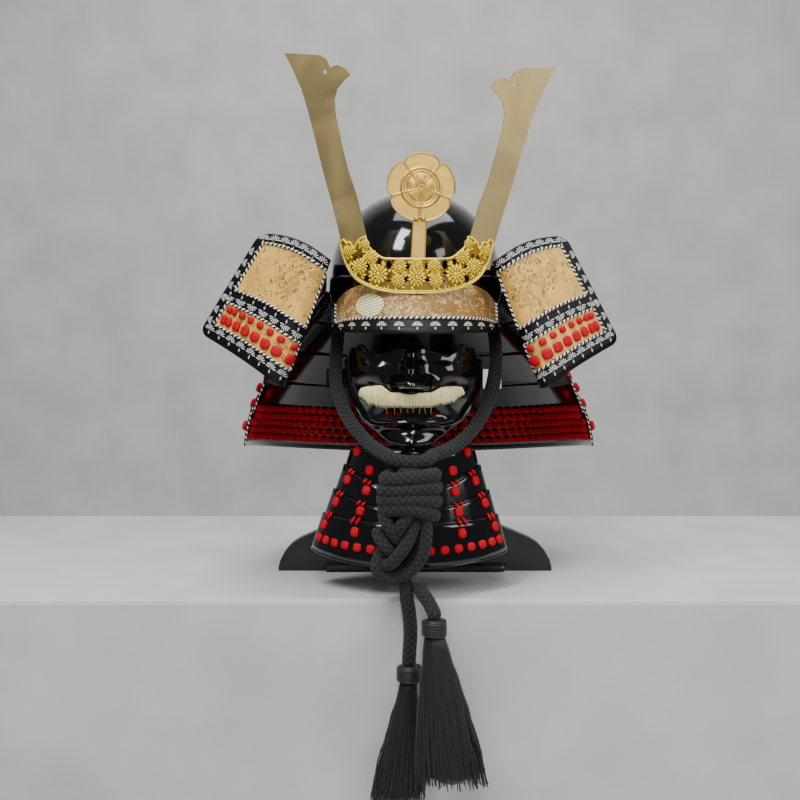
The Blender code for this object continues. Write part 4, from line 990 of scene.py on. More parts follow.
def neck_base(angle, drop):
    """A point of the neck guard's form: angle from the back, drop from 0 at its top to 1 at its foot."""
    spread = 1 - max(0.0, 1 - drop) ** NECK_FULLNESS
    top_share = NECK_TOP_DROP / BAND_HEIGHT
    foot_half_width = NECK_FOOT_HALF_WIDTH + NECK_RIGHT_FLARE * max(0.0, math.sin(angle)) ** 2
    half_width = mixed(band_half_width(top_share) + FIT_GAP + LAME_WALL, foot_half_width, spread)
    half_length = mixed(band_half_length(top_share) + FIT_GAP + LAME_WALL, NECK_FOOT_HALF_LENGTH, spread)
    dip = NECK_DIP * drop * ((1 + math.cos(angle)) / 2) ** 2
    z = BOWL_SPRING_Z - NECK_TOP_DROP - NECK_HEIGHT * drop - dip
    return Vector((half_width * math.sin(angle), half_length * math.cos(angle), z))


def lame_edges(index):
    pitch = 1 / NECK_LAMES
    return max(0.0, pitch * index - pitch * NECK_LAP_SHARE), pitch * (index + 1)


def lame_out(index):
    return index * (LAME_WALL + LAME_GAP)


def wing_forward(out):
    """How far forward the wing's face lies at a distance out from its bend."""
    radius = WING_BEND_RADIUS
    if out <= radius:
        return radius * (math.sqrt(max(0.0, 1 - (1 - out / radius) ** 2)) - 1)
    turn = radius * math.sin(WING_SWEEP)
    if out <= radius + turn:
        return math.sqrt(radius ** 2 - (out - radius) ** 2) - radius
    start = radius * (math.cos(WING_SWEEP) - 1)
    return start - (out - radius - turn) * math.tan(WING_SWEEP)


def wing_face(side, top, foot, out, v):
    """A point of the wing's visible face: out from its bend in metres, v from 0 at its top to 1."""
    x, z, width, tilt = [mixed(top[i], foot[i], v) for i in range(4)]
    tilt = math.radians(tilt)
    outward = Vector((math.cos(tilt), 0.0, math.sin(tilt)))
    bow = mixed(WING_TOP_BOW, WING_FOOT_BOW, v) * math.sin(math.pi * min(1.0, out / width))
    point = Vector((x, WING_FRONT_Y, z)) + outward * out
    point -= Vector((bow * math.sin(tilt), wing_forward(out), -bow * math.cos(tilt)))
    return Vector((side * point.x, point.y, point.z))


def wing_leaf(side, top, foot, share, v):
    """A point of the wing's inner leaf: share from 0 at the neck guard to 1 at the bend."""
    x, z = [mixed(top[i], foot[i], v) for i in range(2)]
    drop = min(1.0, max(0.0, (BOWL_SPRING_Z - NECK_TOP_DROP - z) / NECK_HEIGHT))
    end = neck_base(side * NECK_END_ANGLE, drop)
    root = Vector((side * end.x, end.y - FIT_GAP, z))
    point = mixed(root, Vector((x, WING_FRONT_Y + WING_BEND_RADIUS, z)), share)
    return Vector((side * point.x, point.y, point.z))


def mask_half_width(up):
    below = max(0.0, MASK_WIDEST_SHARE - up) / (MASK_WIDEST_SHARE + 0.04)
    return MASK_HALF_WIDTH * math.sqrt(max(0.0, 1 - below ** 2))


def mask_base(angle, up):
    """A point of the mask's plain form: angle from its middle, up from 0 at the chin to 1 at the brow."""
    x = mask_half_width(up) * math.sin(angle)
    reach = MASK_REACH * read_table(MASK_PROFILE, up, 1) * max(0.0, math.cos(angle)) ** 0.85
    width = NOSE_HALF_WIDTH * read_table(MASK_PROFILE, up, 3)
    reach += NOSE_REACH * read_table(MASK_PROFILE, up, 2) * math.exp(-((x / width) ** 2))
    cheek = math.exp(-(((abs(x) - 0.55 * MASK_HALF_WIDTH) / (0.20 * MASK_HALF_WIDTH)) ** 2))
    reach += MASK_CHEEK_BULGE * cheek * math.exp(-(((up - 0.71) / 0.09) ** 2))
    reach -= MASK_CHEEK_BULGE * cheek * math.exp(-(((up - 0.585) / 0.05) ** 2))
    return Vector((x, MASK_SIDE_Y - reach, MASK_CHIN_Z + MASK_HEIGHT * up))


def mask_edges(angle):
    lower = MASK_JAW_RISE / MASK_HEIGHT * math.sin(angle) ** 2
    return lower, 1 - read_table(MASK_RIM, abs(math.sin(angle)), 1)


def mask_face(angle, up):
    """The mask's modelled face: the plain form with its lips, nostril wings, folds and chin."""
    point = mask_base(angle, up)
    x, z = point.x, point.z - MASK_CHIN_Z
    far = abs(x)
    mouth = MOUTH_SHARE * MASK_HEIGHT
    inside = max(0.0, 1 - (far / (MOUTH_HALF_WIDTH * 1.12)) ** 4)
    lip = 0.0030 * inside * (hump(z, mouth + 0.0078, 0.0030) + 1.25 * hump(z, mouth - 0.0082, 0.0036))
    fold_x = 0.0225 + 0.62 * max(0.0, NOSTRIL_SHARE * MASK_HEIGHT - z)
    fold = 0.0022 * hump(far, min(fold_x, 0.047), 0.0045) * hump(z, 0.048, 0.028)
    wing = 0.0042 * hump(far, 0.0175, 0.0058) * hump(z, NOSTRIL_SHARE * MASK_HEIGHT + 0.0010, 0.0062)
    chin = 0.0022 * hump(far, 0.0, 0.013) * hump(z, 0.013, 0.0085)
    under = -0.0022 * hump(far, 0.0, 0.020) * hump(z, mouth - 0.0165, 0.0042)
    wrinkle = 0.0010 * math.sin(z / 0.0042) * hump(far, 0.052, 0.012) * hump(z, 0.066, 0.018)
    # A groove runs down the bridge of the nose, between two ridges.
    bridge = eased(min(1.0, max(0.0, (z - 0.0765) / 0.0070)))
    groove = bridge * (0.0014 * hump(far, 0.0032, 0.0022) - 0.0016 * hump(far, 0.0, 0.0012))
    point.y -= lip + fold + wing + chin + under + wrinkle + groove
    return point


def throat_base(angle, drop):
    half_width = mixed(THROAT_TOP_HALF_WIDTH, THROAT_FOOT_HALF_WIDTH, drop)
    top_depth = THROAT_END_Y - mask_base(0.0, 0.0).y
    depth = mixed(top_depth, THROAT_FOOT_DEPTH, drop)
    bow = (math.cos(angle) - math.cos(THROAT_ARC)) / (1 - math.cos(THROAT_ARC))
    z = MASK_CHIN_Z - FIT_GAP - THROAT_HEIGHT * drop
    x = half_width * math.sin(angle) / math.sin(THROAT_ARC) + THROAT_DRIFT * drop
    return Vector((x, THROAT_END_Y - depth * bow, z))


def throat_point(index, angle, share, out):
    """A point of a throat lame's front face, out in front of it by that much."""
    top, foot, top_sag, foot_sag = THROAT_LAMES[index]
    sag = THROAT_SAG * mixed(top_sag, foot_sag, share) * math.cos(angle) ** 2
    out += index * (LAME_WALL + THROAT_LAME_GAP)
    point = set_off(throat_base, angle, mixed(top, foot, share), -out)
    return turned(point - Vector((0.0, 0.0, sag)))


def holder_front_y(x):
    return -(band_half_length(1.0) + HOLDER_STAND_OFF) + x * x / (2 * HOLDER_BEND_RADIUS)


def holder_foot_z():
    """The holder's foot stands on the peak."""
    reach = (HOLDER_STAND_OFF - 2 * FIT_GAP - VISOR_WALL) / VISOR_REACH
    back = reach - HOLDER_WALL / VISOR_REACH
    return max(visor_point(0.5, reach).z, visor_point(0.5, back).z) + FIT_GAP


# Operators: each makes one piece or a group of like pieces

class HELMET_OT_stage(bpy.types.Operator):
    """Pale plinth, pale backdrop, soft studio lights and the camera"""

    bl_idname = "helmet.stage"
    bl_label = "Stage"

    def execute(self, context):
        scene = context.scene
        plaster, tree, shader, place = start_material("pale_matt_plaster", colour("#c9c9c7"), 0.85)
        grain = add_node(tree, "ShaderNodeTexNoise", [("Vector", place)], Scale=9.0, Detail=4.0)
        add_node(tree, "ShaderNodeValToRGB", [("Fac", grain)], feeds=shader["Base Color"],
                 stops=[(0.3, colour("#bfbfbd")), (0.7, colour("#cfcfcd"))])
        plinth = bmesh.new()
        bmesh.ops.create_cube(plinth, size=1.0)
        bmesh.ops.scale(plinth, verts=plinth.verts, vec=PLINTH_SIZE)
        bmesh.ops.translate(plinth, verts=plinth.verts, vec=PLINTH_MIDDLE)
        bmesh.ops.bevel(plinth, geom=plinth.edges, offset=0.006, offset_type="OFFSET", affect="EDGES",
                        segments=3, profile=0.5, material=-1)
        sweep = bmesh.new()
        bmesh.ops.create_grid(sweep, x_segments=1, y_segments=1, size=BACKDROP_HALF_SIZE)
        bmesh.ops.translate(sweep, verts=sweep.verts, vec=BACKDROP_MIDDLE)
        back = [edge for edge in sweep.edges if all(vert.co.y > 1.0 for vert in edge.verts)]
        bmesh.ops.extrude_edge_only(sweep, edges=back)
        sweep.verts.ensure_lookup_table()
        for vert in sweep.verts[-2:]:
            vert.co.z += BACKDROP_HEIGHT
        edge = [e for e in sweep.edges if all(v.co.y > 1.0 and v.co.z < 0 for v in e.verts)]
        bmesh.ops.bevel(sweep, geom=edge, offset=BACKDROP_BEND, offset_type="OFFSET", affect="EDGES",
                        segments=12, profile=0.5, material=-1)
        bmesh.ops.recalc_face_normals(sweep, faces=sweep.faces)
        for name, bm in (("plinth", plinth), ("backdrop", sweep)):
            mesh = bpy.data.meshes.new(name)
            for face in bm.faces:
                face.smooth = name == "backdrop"
            bm.to_mesh(mesh)
            bm.free()
            mesh.materials.append(plaster)
            obj = bpy.data.objects.new(name, mesh)
            scene.collection.objects.link(obj)

        world = bpy.data.worlds.new("soft_room_light")
        world.use_nodes = True
        room = world.node_tree.nodes["Background"].inputs
        room["Color"].default_value = colour("#dfe3ea")
        room["Strength"].default_value = 0.15
        scene.world = world
        for name, place, aim, energy, size in LIGHTS:
            light = bpy.data.lights.new(name, "AREA")
            light.energy = energy
            light.shape = "RECTANGLE"
            light.size, light.size_y = size
            lamp = bpy.data.objects.new(name, light)
            lamp.location = place
            lamp.rotation_euler = (Vector(aim) - Vector(place)).to_track_quat("-Z", "Y").to_euler()
            scene.collection.objects.link(lamp)

        lens = bpy.data.cameras.new("camera")
        lens.lens = FOCAL_MM
        lens.sensor_width = SENSOR_MM
        camera = bpy.data.objects.new("camera", lens)
        camera.location = CAMERA_PLACE
        camera.rotation_euler = (math.radians(90) - CAMERA_DIP, 0.0, 0.0)
        scene.collection.objects.link(camera)
        scene.camera = camera
        return {"FINISHED"}


class HELMET_OT_chin_cord(bpy.types.Operator):
    """The braided chin cord with its wrapped and plaited knot, and its two ends"""

    bl_idname = "helmet.chin_cord"
    bl_label = "Chin Cord"

    def execute(self, context):
        radius = CORD_DIAMETER / 2
        wrap = bmesh.new()
        turns = []
        per_turn = 30
        for i in range(per_turn * WRAP_TURNS + 1):
            share = i / (per_turn * WRAP_TURNS)
            angle = math.tau * i / per_turn + math.pi / 2
            wide = (WRAP_HALF_WIDTH - radius) * read_table(WRAP_SHAPE, share, 1)
            level = mixed(WRAP_TOP_Z - radius, WRAP_FOOT_Z + radius - 0.007, share)
            level += wide * read_table(WRAP_SHAPE, share, 2) * math.cos(angle)
            level += read_table(WRAP_SHAPE, share, 3) * max(0.0, -math.sin(angle)) ** 2
            turns.append(Vector((WRAP_CENTRE_X + wide * math.cos(angle),
                                 KNOT_CENTRE_Y + (WRAP_HALF_DEPTH - radius) * math.sin(angle), level)))
        add_tube(wrap, turns, radius * 1.02, ROPE_SIDES)
        core = [Vector((WRAP_CENTRE_X, KNOT_CENTRE_Y, mixed(WRAP_TOP_Z - 0.003, WRAP_FOOT_Z + 0.006, s)))
                for s in spaced(0, 1, 6)]
        add_tube(wrap, core, (WRAP_HALF_DEPTH - radius) * 0.98, 12)
        # The cord runs on from its left end to its right end in front of the wrap's top.
        add_tube(wrap, smooth_route(WRAP_BRIDGE), radius * 1.01, ROPE_SIDES)
        wrap_piece = piece("knot_wrap_turns", wrap, ["rope"], ["knot_wrap"])

        plait = bmesh.new()
        for points in BRAID_STRANDS:
            add_tube(plait, smooth_route(points), radius * 0.9, 16)
        piece("knot_braid_strands", plait, ["rope"], ["knot_braid"])

        for name, points in CORD_END_ROUTES.items():
            bm = bmesh.new()
            hidden = Vector(points[0]) + Vector((-0.002, 0.003, 0.009))
            add_tube(bm, smooth_route([hidden, *points]), radius, ROPE_SIDES)
            piece(name + "_rope", bm, ["rope"], [name])

        for name, points in CHIN_CORD_ROUTES.items():
            bm = bmesh.new()
            route = smooth_route(points, 0.004)
            add_tube(bm, route, radius, ROPE_SIDES)
            rope = piece(name + "_rope", bm, ["rope"], [name])
            route_length(route)
        return {"FINISHED"}


class HELMET_OT_tassels(bpy.types.Operator):
    """The two tassels: a wound collar and long fine locks"""

    bl_idname = "helmet.tassels"
    bl_label = "Tassels"

    def execute(self, context):
        for name, row in TASSELS.items():
            rng = random.Random(name)
            end = Vector(CORD_END_ROUTES[row["cord"]][-1])
            top = end.z - FIT_GAP
            neck = top - TASSEL_HEAD_HEIGHT
            length, width, drift = row["length"], row["half_width"], row["drift"]
            bm = bmesh.new()
            core = [end + Vector((0, 0, -FIT_GAP - TASSEL_HEAD_HEIGHT * s)) for s in spaced(0, 1, 6)]
            add_tube(bm, core, lambda s: TASSEL_HEAD_RADIUS * (0.80 + 0.12 * math.sin(math.pi * s)), 20)
            body = []
            for s in spaced(0, 1, 14):
                body.append(Vector((end.x + drift * s, end.y, mixed(neck, neck - length * 0.97, s))))
            neck_radius = TASSEL_HEAD_RADIUS * 0.8

            def half_width(s):
                return max(width * read_table(TASSEL_SHAPE, s, 1), neck_radius)

            def half_depth(s):
                return mixed(neck_radius, TASSEL_HALF_DEPTH, eased(s))

            def place(u, v):
                centre = body[round(v * 14)]
                size = 0.0 if v in (0.0, 1.0) else 0.78
                return centre + Vector((half_width(v) * size * math.cos(math.tau * u),
                                        half_depth(v) * size * math.sin(math.tau * u), 0.0))

            add_round_sheet(bm, spaced(0, 1, 24), spaced(0, 1, 14), place)
            for lock in range(context.scene.helmet_sizes.tassel_locks):
                angle = math.tau * (lock * GOLDEN_SHARE % 1.0)
                ring = math.sqrt(rng.uniform(0.40, 1.08))
                wave = rng.uniform(-1, 1) * 0.0032
                turns = rng.uniform(0.6, 2.0)
                cut = length * rng.uniform(0.90, 1.0)
                route = []
                for s in spaced(0, 1, 10):
                    reach = mixed(0.84, ring, eased(s))
                    route.append(Vector((
                        end.x + drift * s + half_width(s) * reach * math.cos(angle) * 0.95
                        + wave * math.sin(math.tau * turns * s) * s,
                        end.y + half_depth(s) * reach * math.sin(angle) * 0.95, neck + 0.0015 - cut * s)))
                thick = rng.uniform(0.0010, 0.0017)
                add_tube(bm, route, lambda s, t=thick: t * (1 - 0.7 * s ** 3), 5)
            # Thread is wound round the head five times.
            coil = []
            coil_radius, coil_turns, per_turn = TASSEL_HEAD_RADIUS - 0.0009, 5, 22
            for i in range(coil_turns * per_turn + 1):
                angle = math.tau * i / per_turn
                coil.append(Vector((end.x + coil_radius * math.cos(angle),
                                    end.y + coil_radius * math.sin(angle),
                                    mixed(top - 0.0022, neck + 0.0005, i / (coil_turns * per_turn)))))
            add_tube(bm, coil, 0.0019, 8)
            piece(name + "_hair", bm, ["tassel"], [name])
        return {"FINISHED"}


class HELMET_OT_bowl(bpy.types.Operator):
    """The lacquered bowl and the plate round its foot"""

    bl_idname = "helmet.bowl"
    bl_label = "Bowl"

    def execute(self, context):
        dome_share = 0.85

        def dome(u, v):
            angle = math.tau * u
            if v < dome_share:
                rise = math.pi / 2 * v / dome_share
                size, z = math.sin(rise), BOWL_SPRING_Z + BOWL_DOME_HEIGHT * math.cos(rise)
            else:
                size, z = 1.0, BOWL_SPRING_Z - BOWL_SKIRT * (v - dome_share) / 0.15
            return Vector((BOWL_HALF_WIDTH * size * math.sin(angle),
                           BOWL_HALF_LENGTH * size * math.cos(angle), z))

        bm = bmesh.new()
        rows = [dome_share * s for s in spaced(0, 1, 28)] + [0.9, 0.95, 1.0]
        add_round_sheet(bm, spaced(0, 1, 112), rows, dome)
        bmesh.ops.recalc_face_normals(bm, faces=bm.faces)
        piece("bowl_shell", bm, ["lacquer"], ["bowl"], BOWL_WALL)

        def band(u, v):
            angle = math.tau * u
            return Vector((band_half_width(v) * math.sin(angle), band_half_length(v) * math.cos(angle),
                           BOWL_SPRING_Z - BAND_HEIGHT * v))

        bm = bmesh.new()
        add_round_sheet(bm, spaced(0, 1, 112), spaced(0, 1, 6), band)
        bmesh.ops.recalc_face_normals(bm, faces=bm.faces)
        piece("waist_plate", bm, ["lacquer"], ["waist_band"], BAND_WALL)
        return {"FINISHED"}


class HELMET_OT_visor(bpy.types.Operator):
    """The peak: printed bronze leather with a medallion, a twisted trim cord and a black flowered rim"""

    bl_idname = "helmet.visor"
    bl_label = "Peak"

    def execute(self, context):
        sizes = context.scene.helmet_sizes
        side, foot = 0.055, 0.75
        bm = bmesh.new()
        us = [0.0, side / 2] + spaced(side, 1 - side, 66) + [1 - side / 2, 1.0]
        vs = spaced(0.0, foot, 10) + [0.83, 0.92, 1.0]

        def zone(u, v):
            return 0 if side < u < 1 - side and v < foot else 1

        add_sheet(bm, us, vs, visor_point, (0.24, 0.08), zone)
        piece("visor_shell", bm, ["bronze_leather", "black_leather"], ["visor"],
              VISOR_WALL, side=1.0)

        trim = bmesh.new()
        rim = [(side, v) for v in spaced(0.04, foot - 0.04, 14)]
        rim += [(mixed(side, 1 - side, s), foot) for s in spaced(0.015, 0.985, 110)]
        rim += [(1 - side, v) for v in spaced(foot - 0.04, 0.04, 14)]
        add_tube(trim, [set_off(visor_point, u, v, -TRIM_LIFT) for u, v in rim], sizes.trim_diameter / 2,
                 TRIM_SIDES)
        piece("visor_trim", trim, ["trim"])

        flowers = bmesh.new()
        for u in spaced(0.106, 0.894, 10):
            add_sprig(flowers, visor_point, u, 0.885, 1 / 0.27, 1 / 0.08, sizes.sprig_size, out=-PRINT_LIFT)
        for u in (0.022, 0.978):
            for v in (0.14, 0.36, 0.58, 0.80):
                add_sprig(flowers, visor_point, u, v, 1 / 0.30, 1 / 0.07, sizes.sprig_size * 0.8,
                          out=-PRINT_LIFT)
        piece("visor_flowers", flowers, ["white_print"])

        medallion = bmesh.new()
        add_round_sheet(medallion, spaced(0, 1, 40), spaced(0, 1, 6), lambda u, v: set_off(
            visor_point, 0.279 + 0.0200 * v * math.cos(math.tau * u) / 0.271,
            0.49 + 0.0185 * v * math.sin(math.tau * u) / 0.0805, -0.0005))
        piece("visor_medallion", medallion, ["medallion"])
        return {"FINISHED"}


class HELMET_OT_neck_guard(bpy.types.Operator):
    """The five lames of the neck guard, their edge cords and the silk knots of their lacing"""

    bl_idname = "helmet.neck_guard"
    bl_label = "Neck Guard"

    def execute(self, context):
        sizes = context.scene.helmet_sizes
        for index in range(NECK_LAMES):
            top, foot = lame_edges(index)
            bm = bmesh.new()
            add_sheet(bm, spaced(-NECK_END_ANGLE, NECK_END_ANGLE, 96), spaced(top, foot, 8),
                      lambda a, d: set_off(neck_base, a, d, lame_out(index)), (0.2, 0.2))
            piece(f"neck_plate_{index + 1}", bm, ["lacquer"], [f"neck_lame_{index + 1}"],
                  LAME_WALL)
        last = NECK_LAMES - 1
        end = NECK_END_ANGLE * (1 - 1.2 / 24)
        for row in range(LACING_ROWS):
            middle = 1 - LACING_FOOT_SHARE - 0.020 - LACING_PITCH_SHARE * row
            index = last if middle - 0.017 > lame_edges(last - 1)[1] else last - 1
            out = lame_out(index) - LAME_WALL
            bm = bmesh.new()
            lift, step = 0.0036, 0.002
            angle = -end + 0.5 * (row % 2) * sizes.knot_pitch / NECK_FOOT_HALF_WIDTH
            while angle < end:
                centre = set_off(neck_base, angle, middle, out - lift)
                inward = -normal_of(neck_base, angle, middle)
                down = (neck_base(angle, middle + 0.01) - neck_base(angle, middle)).normalized()
                add_knot(bm, centre, inward, -down, sizes.knot_width, sizes.knot_width * 0.88, 0.0068)
                here = centre + inward * -lift
                while (set_off(neck_base, angle, middle, out) - here).length < sizes.knot_pitch:
                    angle += step
            piece(f"neck_knots_{row + 1}", bm, ["silk"], [f"neck_lacing_{row + 1}"])

        # Single knots inside the upper lames, and larger ones outside the guard's front ends.
        bm = bmesh.new()
        for side in (-1, 1):
            for share, drop in ((0.80, 0.42), (0.84, 0.66)):
                angle = side * share * NECK_END_ANGLE
                index = min(last, int(drop * NECK_LAMES))
                inward = -normal_of(neck_base, angle, drop)
                add_knot(bm, set_off(neck_base, angle, drop, lame_out(index) - LAME_WALL - 0.0034), inward,
                         Vector((0, 0, 1)), sizes.knot_width, sizes.knot_width, 0.0060)
            for drop in (0.56, 0.64, 0.74, 0.88):
                angle = side * (NECK_END_ANGLE - 0.030)
                index = min(last, int(drop * NECK_LAMES))
                outward = normal_of(neck_base, angle, drop)
                add_knot(bm, set_off(neck_base, angle, drop, lame_out(index) + 0.0014), outward,
                         Vector((0, 0, 1)), 0.0100, 0.0118, 0.0068)
        # Each pair of outer cords ties a lame to the one above it.
        for index in range(1, NECK_LAMES):
            join = lame_edges(index)[0]
            for i in range(15):
                angle = mixed(-0.90, 0.90, i / 14) * NECK_END_ANGLE
                for shift in (-0.0042, 0.0042):
                    offset = shift / neck_base(angle, join).length
                    line = [set_off(neck_base, angle + offset * (1 - 1.6 * abs(s - 0.5)), join + d,
                                    lame_out(index - 1) + lift) for s, d, lift in OUTER_CORD_SHAPE]
                    add_tube(bm, line, 0.0017, 6)
        piece("neck_outer_lacing", bm, ["silk"])

        # A twisted cord binds the front end of the two lowest lames.
        bm = bmesh.new()
        for side in (-1, 1):
            for index in (last - 1, last):
                top, foot = lame_edges(index)
                line = [set_off(neck_base, side * (NECK_END_ANGLE - 0.004), d, lame_out(index) - LAME_WALL)
                        for d in spaced(max(top, 0.60), foot - 0.01, 14)]
                add_tube(bm, line, sizes.trim_diameter * 0.38, TRIM_SIDES)
        piece("neck_edge_cords", bm, ["trim"])
        return {"FINISHED"}


class HELMET_OT_wings(bpy.types.Operator):
    """The turned-back wings: gold printed leather in black flowered borders, with red knots"""

    bl_idname = "helmet.wings"
    bl_label = "Wings"

    def execute(self, context):
        sizes = context.scene.helmet_sizes
        for name, (side, top, foot) in WINGS.items():
            height = top[1] - foot[1]
            bend = [WING_BEND_RADIUS * (1 - math.cos(math.radians(d))) for d in spaced(0, 90, 10)]
            turn = [WING_BEND_RADIUS * (1 + math.sin(WING_SWEEP) * s) for s in spaced(0, 1, 5)[1:]]
            flat = spaced(0, 1, 14)[1:]
            corner = [math.sin(math.radians(d)) for d in (12, 25, 38, 52, 66, 79, 90)]
            columns = ([("leaf", s) for s in spaced(0, 1, 4)[:-1]] + [("out", o) for o in bend + turn]
                       + [("flat", s) for s in flat] + [("corner", s) for s in corner])

            def across(v, column):
                """How far out from the bend a column lies."""
                kind, value = column
                width = mixed(top[2], foot[2], v)
                if kind == "out":
                    return value
                start = turn[-1]
                if kind == "flat":
                    return mixed(start, width - WING_CORNER_RADIUS, value)
                return width - WING_CORNER_RADIUS + WING_CORNER_RADIUS * value

            def place(u, v):
                column = columns[round(u * (len(columns) - 1))]
                if column[0] == "leaf":
                    return wing_leaf(side, top, foot, column[1], v)
                if column[0] == "corner":
                    inset = WING_CORNER_RADIUS * (1 - math.sqrt(max(0.0, 1 - column[1] ** 2)))
                    v += (1 - 2 * v) * inset / height
                return wing_face(side, top, foot, across(v, column), v)

            def zone(u, v):
                column = columns[min(len(columns) - 1, math.ceil(u * (len(columns) - 1)))]
                if column[0] in ("leaf", "corner") or v < WING_BORDER or v > WING_PANEL_FOOT:
                    return 1
                return 1 if WING_DIVIDER_TOP < v < WING_DIVIDER_FOOT else 0

            vs = (spaced(0, WING_BORDER, 3) + spaced(WING_BORDER, WING_DIVIDER_TOP, 12)[1:]
                  + spaced(WING_DIVIDER_TOP, WING_DIVIDER_FOOT, 3)[1:]
                  + spaced(WING_DIVIDER_FOOT, WING_PANEL_FOOT, 5)[1:] + spaced(WING_PANEL_FOOT, 1, 3)[1:])
            bm = bmesh.new()
            add_sheet(bm, spaced(0, 1, len(columns) - 1), vs, place, (0.13, 0.13), zone)
            piece(name + "_plate", bm, ["gold_leather", "black_leather"], [name],
                  WING_WALL, side=side)

            # The side of the plate that the front sees: along its normal on the left, against it on the right
            proud = -side

            def face(out, v):
                return wing_face(side, top, foot, out, v)

            def edge(v):
                return mixed(top[2], foot[2], v) - WING_CORNER_RADIUS

            inner = 0.0010
            trim = bmesh.new()
            for low, high in ((WING_BORDER, WING_DIVIDER_TOP), (WING_DIVIDER_FOOT, WING_PANEL_FOOT)):
                loop = [(mixed(inner, edge(low), s ** 1.5), low) for s in spaced(0, 1, 44)]
                loop += [(edge(v), v) for v in spaced(low, high, 30)[1:]]
                loop += [(mixed(edge(high), inner, 1 - (1 - s) ** 1.5), high) for s in spaced(0, 1, 44)[1:]]
                loop += [(inner, v) for v in spaced(high, low, 30)[1:]]
                line = [set_off(face, o, v, proud * TRIM_LIFT) for o, v in loop]
                add_tube(trim, line, sizes.trim_diameter / 2, TRIM_SIDES)
            piece(name + "_trim", trim, ["trim"])

            flowers = bmesh.new()
            places = []
            for v, count, turned_by in ((WING_BORDER * 0.62, 7, 0.0), (0.5925, 7, math.pi),
                                        (mixed(WING_PANEL_FOOT, 1.0, 0.45), 8, 0.0)):
                for i in range(count):
                    places.append((mixed(0.007, edge(v) + 0.002, i / (count - 1)), v, turned_by))
            for v in (0.17, 0.28, 0.39, 0.50, 0.62, 0.74, 0.85):
                places.append((edge(v) + 0.0055, v, math.pi / 2))
            for out, v, turned_by in places:
                size = sizes.sprig_size * (0.80 if turned_by == math.pi / 2 else 1.0)
                add_sprig(flowers, face, out, v, 1.0, 1 / height, size, turned_by, out=proud * PRINT_LIFT)
            piece(name + "_flowers", flowers, ["white_print"])

            # Two rows of knots, wider apart near the bend than at the wing's outer edge.
            knots = bmesh.new()
            for v, tall, fill in ((0.700, 0.0078, 0.66), (0.795, 0.0122, 0.92)):
                outs = [mixed(0.005, edge(v) - 0.007, 1 - (1 - i / 7) ** 1.3) for i in range(8)]
                for i, out in enumerate(outs):
                    room = (outs[min(7, i + 1)] - outs[max(0, i - 1)]) / (2 if 0 < i < 7 else 1)
                    wide = min(0.0135, max(0.0072, fill * room))
                    normal = normal_of(face, out, v) * proud
                    up = (face(out, v - 0.01) - face(out, v)).normalized()
                    add_knot(knots, face(out, v) + normal * 0.0014, normal, up, wide, tall, 0.0052)
            piece(name + "_knots", knots, ["silk"])
        return {"FINISHED"}


class HELMET_OT_mask(bpy.types.Operator):
    """The lacquered face mask with its rolled edges, teeth and rivets, and its cheek flanges"""

    bl_idname = "helmet.mask"
    bl_label = "Face Mask"

    def execute(self, context):
        def angle_at(u):
            across = 2 * u - 1
            return math.radians(89) * (0.62 * across + 0.38 * across ** 3)

        def place(u, v):
            lower, upper = mask_edges(angle_at(u))
            return mask_face(angle_at(u), mixed(upper, lower, v))

        bm = bmesh.new()
        add_sheet(bm, spaced(0, 1, 148), spaced(0, 1, 90), place, (0.25, 0.13))
        cutters = bmesh.new()
        half = MOUTH_HEIGHT / 2
        slot_z = MASK_CHIN_Z + MASK_HEIGHT * MOUTH_SHARE
        corners = []
        for i in range(40):
            angle = math.tau * i / 40
            x = MOUTH_HALF_WIDTH * math.copysign(abs(math.cos(angle)) ** 0.55, math.cos(angle))
            z = half * math.copysign(abs(math.sin(angle)) ** 0.8, math.sin(angle))
            corners.append((x, -0.20, slot_z + z + 0.0012 * (x / MOUTH_HALF_WIDTH) ** 2))
        add_prism(cutters, corners, 0.11)
        # Each nostril is a long oval, slanted towards the nose's tip.
        for side in (-1, 1):
            where = Matrix.Translation((side * NOSTRIL_OFFSET, MASK_SIDE_Y - 0.9 * MASK_REACH - 0.026,
                                        MASK_CHIN_Z + MASK_HEIGHT * NOSTRIL_SHARE - 0.0010))
            where = where @ Matrix.Rotation(math.radians(-35 * side), 4, "Y")
            where = where @ Matrix.Diagonal((1.45, 1.0, 1.0, 1.0))
            add_bore(cutters, where, NOSTRIL_RADIUS, 0.052, 24)
        bm = cut(context, bm, cutters, MASK_WALL)

        # Rolled edges, a row of teeth on the lower lip, and a rivet on each cheek.
        for edge, radius in ((1, 0.0013), (0, 0.0012)):
            line = [mask_face(angle_at(u), mask_edges(angle_at(u))[edge]) + Vector((0, MASK_WALL / 2, 0))
                    for u in spaced(0.01, 0.99, 150)]
            add_tube(bm, line, radius, 8)
        for i in range(17):
            x = mixed(-0.0262, 0.0262, i / 16)
            up = (MASK_HEIGHT * MOUTH_SHARE - half - 0.0002 + 1.5 * x * x) / MASK_HEIGHT
            at = mask_face(math.asin(x / mask_half_width(up)), up)
            add_ball(bm, at + Vector((0.0, 0.0016, 0.0)), (0.0013, 0.0022, 0.0016))
        for x in (-0.0500, 0.0500):
            up = 0.0985 / MASK_HEIGHT
            at = mask_face(math.asin(x / mask_half_width(up)), up)
            add_ball(bm, at, (0.0017, 0.0014, 0.0017), 0.0, 12, 8)
        bmesh.ops.transform(bm, matrix=Matrix.Rotation(FACE_TURN, 4, "Z"), verts=bm.verts)
        piece("mask_face", bm, ["lacquer"], ["mask"], angle=40)
        dress(["cheek_flange_left", "cheek_flange_right"], "lacquer")
        return {"FINISHED"}


